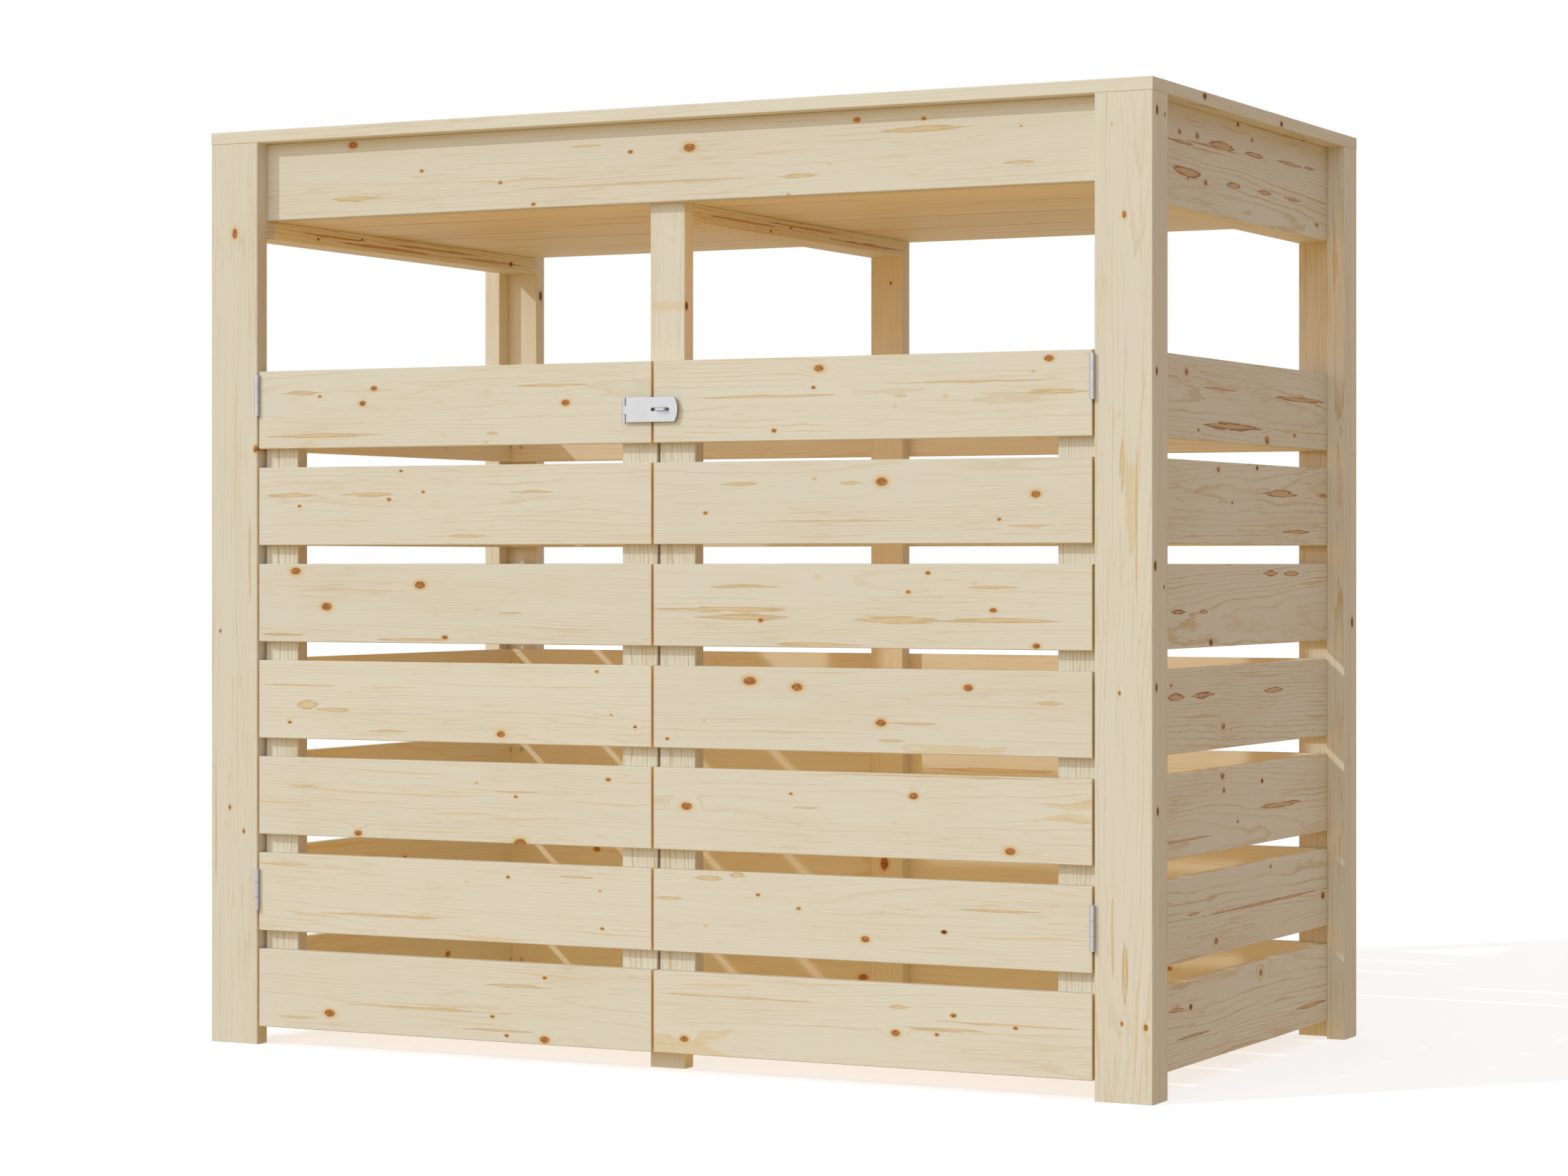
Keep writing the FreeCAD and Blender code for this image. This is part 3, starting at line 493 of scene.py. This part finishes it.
    add_node(tree, "NodeGroupOutput", {
        "Color": colour,
        "Roughness": wood.roughness - line * 0.06 - heart * 0.16 + (fibre - 0.5) * 0.10 + entry["End"] * 0.15,
        "Height": fibre * 0.5 + line * 0.35 - heart * 0.5,
    }, None)
    return tree


def board_frame(node, lie):
    """A timber's lowest corner, along the grain, across its face and through it, and how broad it is."""
    low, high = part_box(node)
    order = ["XYZ".index(axis) for axis in LIES[lie]]
    return [low[i] for i in order], high[order[1]] - low[order[1]]


def marks_of(node, table, corner):
    """A node's knots or streaks, with the places of a set's boards counted from its lowest board."""
    marks = [(corner[1], mark) for mark in table.get(node, ())]
    for number in range(1, BOARDS + 1):
        low_edge = corner[1] + (number - 1) * BOARD_PITCH
        marks += [(low_edge, mark) for mark in table.get(f"{node} {number}", ())]
    return marks


def knot_places(node, corner):
    """A node's sound and dead knots: middle, radius, and whether across the face and through it count."""
    sound, dead = ([((corner[0] + far * MM, low_edge + up * MM, 0), radius * MM, 1, 0)
                    for low_edge, (far, up, radius) in marks_of(node, table, corner)]
                   for table in (KNOTS, BLACK_KNOTS))
    at_edge = [((corner[0] + far * MM, 0, corner[2] + back * MM), radius * MM, 0, 1)
               for far, back, radius in EDGE_KNOTS.get(node, ())]
    return sound, dead + at_edge


def knot_field(tree, places, along, across, depth):
    """How near the closest knot is, in knot radii, and how far it pushes the rings."""
    flat = point(tree, along, across, depth)
    near, push = 50.0, 0.0
    for place, radius, over_face, over_edge in places:
        stretch = (0.64 / radius, over_face / radius, over_edge / radius)
        offset = add_node(tree, "ShaderNodeVectorMath", {0: flat, 1: place}, operation="SUBTRACT")
        scaled = add_node(tree, "ShaderNodeVectorMath", {0: offset, 1: stretch}, operation="MULTIPLY")
        away = add_node(tree, "ShaderNodeVectorMath", {0: scaled}, "Value", operation="LENGTH")
        near = away.least(near)
        push = (1 - away.step(0.0, 4.5)) * (radius / MM * 1.2) + push
    return near, push


def resin_field(node, corner, along, across):
    """Above 0 inside a listed streak: a long lens with a pointed end each way."""
    field = None
    for low_edge, (start, end, up, half_width) in marks_of(node, STREAKS, corner):
        middle = corner[0] + (start + end) / 2 * MM
        run = (along - middle) / ((end - start) / 2 * MM)
        lift = abs(across - (low_edge + up * MM)) / (half_width * MM)
        lens = 1 - run * run - lift
        field = lens if field is None else field.most(lens)
    return -9.0 if field is None else field


def softwood(node, lie, grain):
    """A timber's own material: the shared grain, at the timber's place in its own log."""
    dice = random.Random(f"log of {node}")
    material, tree = new_material(f"spruce_{node}")
    place = add_node(tree, "ShaderNodeTexCoord", {}, "Object")
    facing = add_node(tree, "ShaderNodeTexCoord", {}, "Normal")
    split = {axis: add_node(tree, "ShaderNodeSeparateXYZ", {0: place}, axis) for axis in LIES[lie]}
    along, across, depth = (split[axis] for axis in LIES[lie])
    corner, width = board_frame(node, lie)
    sound, dead = knot_places(node, corner)
    near, push = knot_field(tree, sound, along, across, depth)
    black_near, _ = knot_field(tree, dead, along, across, depth)
    resin = resin_field(node, corner, along, across)
    if width > 2 * BOARD_PITCH and lie in ("crosswise", "lengthwise"):
        # A node of several boards, each from a log of its own
        number = ((across - (corner[1] - (BOARD_PITCH - BOARD_WIDTH) / 2)) / BOARD_PITCH).floor()
        parts = channels(tree, add_node(tree, "ShaderNodeTexWhiteNoise", {"W": number * 3.7 + dice.random()},
                                        "Color", noise_dimensions="1D"))
        middle = number * BOARD_PITCH + (corner[1] + BOARD_WIDTH / 2)
        seed = number * 1.31 + dice.uniform(0, 20)
    else:
        parts = [dice.random() for _ in range(3)]
        middle = corner[1] + width / 2
        seed = dice.uniform(0, 20)
    breadth = BROAD_GRAIN.get(node, 1.0)
    values = {
        "Along": (along - corner[0]) * breadth,
        "Across": (across - middle) * breadth,
        "Depth": depth - corner[2],
        "Seed": seed,
        "Pith across": parts[0] * (2 * PITH_ASIDE) - PITH_ASIDE,
        "Pith depth": PITH_DEPTH - PITH_VARIES * parts[1],
        "Lean": parts[2] * (2 * PITH_LEAN) - PITH_LEAN,
        "Tone": 1 - TONE_SPREAD + 2 * TONE_SPREAD * parts[1],
        "Knot": near,
        "Black knot": black_near,
        "Push": push,
        "Resin": resin,
        "Ring contrast": BOLD_GRAIN.get(node, 1.0),
        "End": abs(add_node(tree, "ShaderNodeSeparateXYZ", {0: facing}, LIES[lie][0])).step(0.6, 0.9),
    }
    drawn = add_node(tree, "ShaderNodeGroup", values, node_tree=grain).socket.node.outputs
    height = drawn["Height"]
    relief = add_node(tree, "ShaderNodeBump", {"Strength": 0.35, "Distance": 0.0003, "Height": height})
    end_tree(tree, add_node(tree, "ShaderNodeBsdfPrincipled", {
        "Base Color": drawn["Color"], "Roughness": drawn["Roughness"],
        "Specular IOR Level": 0.30, "Normal": relief}))
    return material


def zinc_material(zinc):
    """Bright zinc on pressed steel: faint spangle, slightly worn patches, soft gloss."""
    material, tree = new_material("bright_zinc")
    place = add_node(tree, "ShaderNodeTexCoord", {}, "Object")
    spangle = add_node(tree, "ShaderNodeTexVoronoi", {"Vector": place, "Scale": 260.0}, "Color")
    patch = channels(tree, spangle)[0]
    smear = add_node(tree, "ShaderNodeTexNoise", {"Vector": place, "Scale": 90.0, "Detail": 3.0})
    worn = tuple(channel * 0.86 for channel in zinc.tint)
    colour = blend(tree, patch * 0.25 + smear * 0.35, zinc.tint, worn)
    roughness = zinc.roughness + (patch - 0.5) * 0.08 + (smear - 0.5) * 0.16
    relief = add_node(tree, "ShaderNodeBump", {"Strength": 0.15, "Distance": 0.0001, "Height": smear})
    end_tree(tree, add_node(tree, "ShaderNodeBsdfPrincipled", {
        "Base Color": colour, "Metallic": 0.75, "Roughness": roughness, "Normal": relief}))
    return material


def dress(node, material):
    """Gives a CAD node its finish, in every slot that it has."""
    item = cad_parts[node]
    if not item.material_slots:
        item.data.materials.append(material)
    for material_slot in item.material_slots:
        material_slot.material = material


def dress_timbers(context, words):
    """Finishes the timbers that have one of the words in their names."""
    grain = bpy.data.node_groups.get("Spruce grain") or grain_group(context.scene.bin_store_wood)
    for node, lie in TIMBERS.items():
        if any(word in node for word in words):
            dress(node, softwood(node, lie, grain))


def shared_zinc(context):
    return bpy.data.materials.get("bright_zinc") or zinc_material(context.scene.bin_store_zinc)


def new_object(context, name, data):
    """An object in the scene."""
    item = bpy.data.objects.new(name, data)
    context.scene.collection.objects.link(item)
    return item


# Of a screw's head radius: the reach, the half width and the depth of its cross
CROSS_REACH, CROSS_HALF_WIDTH, CROSS_DEPTH = 0.58, 0.13, 0.30


def screw_shape(context, name, head_radius, rise, taper, shank_radius, length, sides):
    """A countersunk screw along -Z under its head, with a cross recess in the head."""
    shape = bmesh.new()
    arm, slot, sink = (head_radius * share for share in (CROSS_REACH, CROSS_HALF_WIDTH, CROSS_DEPTH))
    corners = []
    for quarter in range(4):
        turn = Matrix.Rotation(math.radians(90 * quarter), 3, "Z")
        corners += [turn @ Vector(spot) for spot in ((arm, -slot, 0), (arm, slot, 0), (slot, slot, 0))]
    cross = [shape.verts.new(spot + Vector((0, 0, rise))) for spot in corners]
    floor = [shape.verts.new(spot * 0.8 + Vector((0, 0, rise - sink))) for spot in corners]
    stations = [(head_radius * 0.93, rise), (head_radius, rise - head_radius * 0.08),
                (shank_radius, rise - taper), (shank_radius * 0.9, -length)]
    loops = []
    for radius, height in stations:
        angles = [2 * math.pi * k / sides for k in range(sides)]
        loops.append([shape.verts.new((radius * math.cos(a), radius * math.sin(a), height)) for a in angles])
    for lower, upper in zip(loops, loops[1:]):
        for k in range(sides):
            shape.faces.new((lower[k], upper[k], upper[(k + 1) % sides], lower[(k + 1) % sides]))
    for k in range(len(cross)):
        after = (k + 1) % len(cross)
        shape.faces.new((cross[k], cross[after], floor[after], floor[k]))
    shape.faces.new(floor)
    tip = shape.verts.new((0, 0, -length - shank_radius))
    for k in range(sides):
        shape.faces.new((loops[-1][(k + 1) % sides], loops[-1][k], tip))
    shape.edges.ensure_lookup_table()
    edges = [shape.edges.get((ring[k], ring[(k + 1) % len(ring)]))
             for ring in (cross, loops[0]) for k in range(len(ring))]
    bmesh.ops.triangle_fill(shape, edges=edges, use_beauty=True)
    bmesh.ops.recalc_face_normals(shape, faces=shape.faces)
    mesh = bpy.data.meshes.new(name)
    shape.to_mesh(mesh)
    shape.free()
    return new_object(context, name, mesh)


def screw_tree():
    """Sets a screw on each point, its head towards the point's facing, turned at random."""
    tree = bpy.data.node_groups.new("Set screws", "GeometryNodeTree")
    declare(tree, "INPUT", {"Places": "Geometry", "Screw": "Object", "Seed": "Int", "Finish": "Material"})
    declare(tree, "OUTPUT", {"Screws": "Geometry"})
    given = tree.nodes.new("NodeGroupInput")
    facing = add_node(tree, "GeometryNodeInputNamedAttribute", {"Name": "facing"}, "Attribute",
                      data_type="FLOAT_VECTOR")
    aim = add_node(tree, "FunctionNodeAlignRotationToVector", {"Vector": facing}, axis="Z")
    turn = add_node(tree, "FunctionNodeRandomValue", {3: math.tau, "Seed": given.outputs["Seed"]}, 1)
    spin = add_node(tree, "FunctionNodeAxisAngleToRotation", {"Axis": (0, 0, 1), "Angle": turn})
    rotation = add_node(tree, "FunctionNodeRotateRotation", {"Rotation": aim, "Rotate By": spin},
                        rotation_space="LOCAL")
    part = add_node(tree, "GeometryNodeObjectInfo", {"Object": given.outputs["Screw"]}, "Geometry")
    points = add_node(tree, "GeometryNodeMeshToPoints", {"Mesh": given.outputs["Places"]})
    placed = add_node(tree, "GeometryNodeInstanceOnPoints",
                      {"Points": points, "Instance": part, "Rotation": rotation})
    real = add_node(tree, "GeometryNodeRealizeInstances", {"Geometry": placed})
    finished = add_node(tree, "GeometryNodeSetMaterial",
                        {"Geometry": real, "Material": given.outputs["Finish"]})
    add_node(tree, "NodeGroupOutput", {"Screws": finished}, None)
    return tree


def set_screws(context, name, body, places, screw, seed):
    """One mesh of screws that rides on a body; places are points and the way that each head faces."""
    mesh = bpy.data.meshes.new(f"{name}_places")
    mesh.from_pydata([spot for spot, _ in places], [], [])
    facing = mesh.attributes.new("facing", "FLOAT_VECTOR", "POINT")
    for k, (_, way) in enumerate(places):
        facing.data[k].vector = way
    carrier = new_object(context, f"{name}_places", mesh)
    tree = bpy.data.node_groups.get("Set screws") or screw_tree()
    modifier = carrier.modifiers.new("Set screws", "NODES")
    modifier.node_group = tree
    sockets = {item.name: item.identifier for item in tree.interface.items_tree if item.in_out == "INPUT"}
    modifier[sockets["Screw"]] = screw
    modifier[sockets["Seed"]] = seed
    modifier[sockets["Finish"]] = shared_zinc(context)
    context.view_layer.update()
    evaluated = carrier.evaluated_get(context.evaluated_depsgraph_get())
    made = new_object(context, name, bpy.data.meshes.new_from_object(evaluated))
    bpy.data.objects.remove(carrier)
    bpy.data.objects.remove(screw)
    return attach(made, body)


def middle_of(node):
    low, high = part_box(node)
    return (low + high) / 2


def board_heights():
    """Middle height of each board, counted from the ground."""
    return [SLAT_LOW.z + BOARD_WIDTH / 2 + number * BOARD_PITCH for number in range(BOARDS)]


def side_board_places(side, spread):
    """From inside through the side boards into the battens, two at each end."""
    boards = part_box(f"{side}_side_boards")
    inner, way = (boards[1].x, RIGHTWARDS) if side == "left" else (boards[0].x, LEFTWARDS)
    front_y = middle_of(f"front_{side}_post_batten").y
    rear_y = (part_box(f"rear_{side}_post_batten")[0].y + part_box("rear_boards")[0].y) / 2
    return [(Vector((inner, y, z + shift)), way)
            for z in board_heights() for y in (front_y, rear_y) for shift in (-spread, spread)]


def rear_board_places(spread):
    """Into the rear planks from inside, and into the rear centre post from behind."""
    low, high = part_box("rear_boards")
    out = (high.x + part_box("rear_right_post_plank")[0].x) / 2
    inside = [(Vector((x, low.y, z + shift)), FORWARDS)
              for z in board_heights() for x in (-out, out) for shift in (-spread, spread)]
    behind = [(Vector((0, high.y, z + shift)), BACKWARDS)
              for z in board_heights() for shift in (-spread, spread)]
    return inside + behind


# Share of a fascia's height at each of its screws, and the number along a bearer or a post
FASCIA_SCREW_LEVELS = (0.27, 0.75)
SCREWS_IN_ROW = 5


def fascia_places():
    """From inside the tray through the fascias into the posts."""
    low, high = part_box("front_fascia")
    rear_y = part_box("rear_fascia")[0].y
    out = (high.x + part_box("front_right_post_plank")[0].x) / 2
    left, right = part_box("left_fascia")[1].x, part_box("right_fascia")[0].x
    at_sides = ((high.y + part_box("front_left_post_batten")[1].y) / 2,
                (rear_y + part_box("rear_left_post_batten")[0].y) / 2)
    places = []
    for share in FASCIA_SCREW_LEVELS:
        z = low.z + (high.z - low.z) * share
        for x in (-out, out):
            places += [(Vector((x, high.y, z)), BACKWARDS), (Vector((x, rear_y, z)), FORWARDS)]
        for y in at_sides:
            places += [(Vector((left, y, z)), RIGHTWARDS), (Vector((right, y, z)), LEFTWARDS)]
    return places


def spaced(low, high, count):
    """Count places from low to high, a half step in from each end."""
    step = (high - low) / count
    return [low + step * (k + 0.5) for k in range(count)]


def roof_places():
    """Down through the roof panel into the three bearers."""
    low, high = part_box("roof_panel")
    return [(Vector((middle_of(f"{place}_bearer").x, y, high.z)), UPWARDS)
            for place in ("left", "centre", "right") for y in spaced(low.y, high.y, SCREWS_IN_ROW)]


def post_places():
    """From behind, through each front batten into its plank."""
    places = []
    for batten in ("front_left_post_batten", "front_right_post_batten"):
        x, y = middle_of(batten).x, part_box(batten)[1].y
        places += [(Vector((x, y, z)), BACKWARDS) for z in spaced(GROUND, POST_TOP, SCREWS_IN_ROW)]
    return places


def stile_places(door, spread, height):
    """Through the backs of the stiles into the slats, two at each crossing."""
    places = []
    for stile in STILES:
        low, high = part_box(f"{door}_{stile}")
        x = (low.x + high.x) / 2
        places += [(Vector((x + shift * spread, high.y, z + shift * height)), BACKWARDS)
                   for z in board_heights() for shift in (-1, 1)]
    return places


# How close points are that are one corner of a mesh, and that are at one end of a screw
SAME_CORNER = 0.00001
SAME_END = 0.0001


def hardware_places(node):
    """Where the frame's plain hinge and hasp screws are, and the way that their heads face."""
    finder = bmesh.new()
    finder.from_mesh(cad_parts[node].data)
    bmesh.ops.remove_doubles(finder, verts=finder.verts, dist=SAME_CORNER)
    waiting, places = set(finder.verts), []
    while waiting:
        island, edge = set(), [next(iter(waiting))]
        while edge:
            vert = edge.pop()
            if vert in island:
                continue
            island.add(vert)
            edge += [link.other_vert(vert) for link in vert.link_edges]
        waiting -= island
        places.append(screw_end(island))
    finder.free()
    return sorted(places, key=lambda item: tuple(item[0]))


def screw_end(island):
    """The middle of a plain screw's head, its wider end, and the way that it faces."""
    spots = [vert.co for vert in island]
    low = Vector([min(spot[i] for spot in spots) for i in range(3)])
    high = Vector([max(spot[i] for spot in spots) for i in range(3)])
    axis = max(range(3), key=lambda i: high[i] - low[i])
    middle = (low + high) / 2

    def reach(end):
        return max((spot - middle).length for spot in spots if abs(spot[axis] - end[axis]) < SAME_END)

    end, way = (high, 1) if reach(high) > reach(low) else (low, -1)
    head, facing = middle.copy(), Vector()
    head[axis], facing[axis] = end[axis], way
    return head, facing


class DressesTimbers:
    """For the operators that finish timbers: each takes those with one of its words in the name."""

    def execute(self, context):
        dress_timbers(context, self.words)
        return {"FINISHED"}


class BINSTORE_OT_posts(DressesTimbers, bpy.types.Operator):
    """Finish the corner posts and the two centre posts"""
    bl_idname = "binstore.posts"
    bl_label = "Posts"
    words = ("_post",)


class BINSTORE_OT_boarding(DressesTimbers, bpy.types.Operator):
    """Finish the boards of the sides and the back"""
    bl_idname = "binstore.boarding"
    bl_label = "Boarding"
    words = ("_boards",)


class BINSTORE_OT_roof(DressesTimbers, bpy.types.Operator):
    """Finish the fascias, the rim, the bearers and the roof panel"""
    bl_idname = "binstore.roof"
    bl_label = "Roof tray"
    words = ("_fascia", "_rim", "_bearer", "_panel")


class BINSTORE_OT_doors(DressesTimbers, bpy.types.Operator):
    """Finish the slats and stiles of both doors"""
    bl_idname = "binstore.doors"
    bl_label = "Doors"
    words = DOORS


class BINSTORE_OT_ironmongery(bpy.types.Operator):
    """Finish the hinges, their pins, the hasp and the staple"""
    bl_idname = "binstore.ironmongery"
    bl_label = "Hinges and hasp"

    def execute(self, context):
        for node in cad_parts:
            if node.startswith("hasp_") or node.endswith(("_leaves", "_pins")):
                dress(node, shared_zinc(context))
        return {"FINISHED"}


class BINSTORE_OT_hardware_screws(bpy.types.Operator):
    """Put cross-head screws in the hinges, the hasp and the staple"""
    bl_idname = "binstore.hardware_screws"
    bl_label = "Hinge and hasp screws"

    def execute(self, context):
        sets = (("left_post_screws", "frame"), ("right_post_screws", "frame"),
                ("left_door_screws", "left_door"), ("right_door_screws", "right_door"))
        for seed, (node, body) in enumerate(sets, start=1):
            screw = screw_shape(context, "small_screw", head_radius=0.0028, rise=0.0, taper=0.0013,
                                shank_radius=0.0015, length=0.015, sides=16)
            made = set_screws(context, f"{node}_cross_head", body, hardware_places(node), screw, seed)
            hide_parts(node)
        return {"FINISHED"}


class BINSTORE_OT_board_screws(bpy.types.Operator):
    """Put screws where boards cross posts, stiles and bearers"""
    bl_idname = "binstore.board_screws"
    bl_label = "Board screws"

    def execute(self, context):
        sizes = context.scene.bin_store_screws
        spread = sizes.board_spread
        places = {
            "frame": side_board_places("left", spread) + side_board_places("right", spread)
            + rear_board_places(spread) + fascia_places() + roof_places() + post_places(),
        }
        for door in DOORS:
            places[door] = stile_places(door, sizes.stile_spread, spread)
        for seed, (body, spots) in enumerate(places.items(), start=11):
            screw = screw_shape(context, "board_screw", sizes.head_radius, sizes.head_rise,
                                taper=sizes.head_radius * 0.6, shank_radius=sizes.head_radius * 0.5,
                                length=0.004, sides=12)
            set_screws(context, f"{body}_board_screws", body, spots, screw, seed)
        return {"FINISHED"}


class BINSTORE_OT_stage(bpy.types.Operator):
    """Lay the floor, light the store and set the camera"""
    bl_idname = "binstore.stage"
    bl_label = "Stage"

    def execute(self, context):
        settings = context.scene.bin_store_stage
        lay_floor(context, settings)
        light_sky(context, settings)
        hang_lamp(context, "sun", settings.sun_strength, settings.sun_size, SUN_COLOUR, SUN_TRAVEL)
        hang_lamp(context, "front_fill", settings.fill_strength, FILL_SIZE, FILL_COLOUR, FILL_TRAVEL)
        light_bay(context, settings)
        set_camera(context, settings)
        context.scene.view_settings.view_transform = "Standard"
        return {"FINISHED"}


def seen_directly(tree):
    """1 for rays that show the background itself, in view, in a gloss or through glass."""
    path = tree.nodes.new("ShaderNodeLightPath")
    camera, glossy, through = (Wire(tree, path.outputs[name]) for name in (
        "Is Camera Ray", "Is Glossy Ray", "Is Transmission Ray"))
    return camera.most(glossy).most(through)


def lay_floor(context, settings):
    """A pale floor, white where the light falls on it, that keeps the store's shadow."""
    half = settings.floor_size / 2
    mesh = bpy.data.meshes.new("floor")
    corners = [(-half, -half, GROUND), (half, -half, GROUND), (half, half, GROUND), (-half, half, GROUND)]
    mesh.from_pydata(corners, [], [(0, 1, 2, 3)])
    floor = new_object(context, "floor", mesh)
    material, tree = new_material("pale_floor")
    ground_light = add_node(tree, "ShaderNodeEmission", {"Color": (*settings.ground_light, 1.0)})
    shaded = add_node(tree, "ShaderNodeBsdfDiffuse", {"Color": (FLOOR_GREY, FLOOR_GREY, FLOOR_GREY, 1.0)})
    glow = add_node(tree, "ShaderNodeEmission", {"Color": WHITE, "Strength": FLOOR_GLOW})
    white = add_node(tree, "ShaderNodeAddShader", {0: shaded, 1: glow})
    end_tree(tree, add_node(tree, "ShaderNodeMixShader", {0: seen_directly(tree), 1: ground_light, 2: white}))
    mesh.materials.append(material)


def light_sky(context, settings):
    """Soft light, stronger from overhead; the background itself is plain white."""
    world = bpy.data.worlds.new("studio")
    context.scene.world = world
    world.use_nodes = True
    tree = world.node_tree
    tree.nodes.clear()
    direction = add_node(tree, "ShaderNodeTexCoord", {}, "Generated")
    height = add_node(tree, "ShaderNodeSeparateXYZ", {0: direction}, "Z")
    light = blend(tree, height.step(0.25, 0.85), settings.horizon, settings.sky)
    colour = blend(tree, seen_directly(tree), light, WHITE[:3])
    sky = add_node(tree, "ShaderNodeBackground", {"Color": colour})
    end_tree(tree, sky, "ShaderNodeOutputWorld")


def hold(context, name, data, place, aim):
    """An object for a lamp or a camera, that looks along aim."""
    holder = new_object(context, name, data)
    holder.location = place
    holder.rotation_mode = "QUATERNION"
    holder.rotation_quaternion = aim.to_track_quat("-Z", "Y")
    return holder


def hang_lamp(context, name, strength, size, colour, travel):
    """A far lamp whose light travels one way."""
    lamp = bpy.data.lights.new(name, "SUN")
    lamp.energy = strength
    lamp.angle = size
    lamp.color = colour
    hold(context, name, lamp, Vector(), travel)


def light_bay(context, settings):
    """A wide panel behind the doors, out of view, that lights the inside only."""
    side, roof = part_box("right_side_boards")[0].x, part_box("roof_panel")[0].z
    lamp = bpy.data.lights.new("bay_light", "AREA")
    lamp.shape = "RECTANGLE"
    lamp.size, lamp.size_y = side * 2, (roof - GROUND) * 0.98
    lamp.energy = BAY_WATTS
    lamp.color = settings.bay_light
    place = (0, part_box("front_centre_post")[0].y + BAY_CLEARANCE, (roof + GROUND) / 2)
    hold(context, "bay_light", lamp, place, BACKWARDS).visible_camera = False


def set_camera(context, settings):
    """A level camera, about half as high as the store, that looks in from the right front."""
    camera = bpy.data.cameras.new("camera")
    camera.sensor_width = 36.0
    camera.lens = settings.lens
    camera.shift_y = CAMERA_SHIFT
    camera.clip_end = 500
    context.scene.camera = hold(context, "camera", camera, CAMERA_PLACE, CAMERA_AIM)


STEPS = (
    BINSTORE_OT_posts,
    BINSTORE_OT_boarding,
    BINSTORE_OT_roof,
    BINSTORE_OT_doors,
    BINSTORE_OT_ironmongery,
    BINSTORE_OT_hardware_screws,
    BINSTORE_OT_board_screws,
    BINSTORE_OT_stage,
)


class BINSTORE_PT_panel(bpy.types.Panel):
    """The steps that dress the store, and the sizes and colours that they use"""
    bl_idname = "BINSTORE_PT_panel"
    bl_label = "Bin store"
    bl_space_type = "VIEW_3D"
    bl_region_type = "UI"
    bl_category = "Bin store"

    def draw(self, context):
        for name in SETTINGS:
            group = getattr(context.scene, name)
            box = self.layout.box()
            for item in group.bl_rna.properties.keys():
                if item not in ("rna_type", "name"):
                    box.prop(group, item)
        for step in STEPS:
            self.layout.operator(step.bl_idname)


SETTINGS = {
    "bin_store_wood": PlanedWood,
    "bin_store_zinc": ZincPlate,
    "bin_store_screws": ScrewSizes,
    "bin_store_stage": StageSettings,
}
CLASSES = (*SETTINGS.values(), *STEPS, BINSTORE_PT_panel)


def register():
    for item in CLASSES:
        bpy.utils.register_class(item)
    for name, group in SETTINGS.items():
        setattr(bpy.types.Scene, name, bpy.props.PointerProperty(type=group))


def unregister():
    for name in SETTINGS:
        delattr(bpy.types.Scene, name)
    for item in reversed(CLASSES):
        bpy.utils.unregister_class(item)


def main():
    register()
    for step in STEPS:
        getattr(bpy.ops.binstore, step.bl_idname.split(".")[1])()


if __name__ == "__main__":
    main()
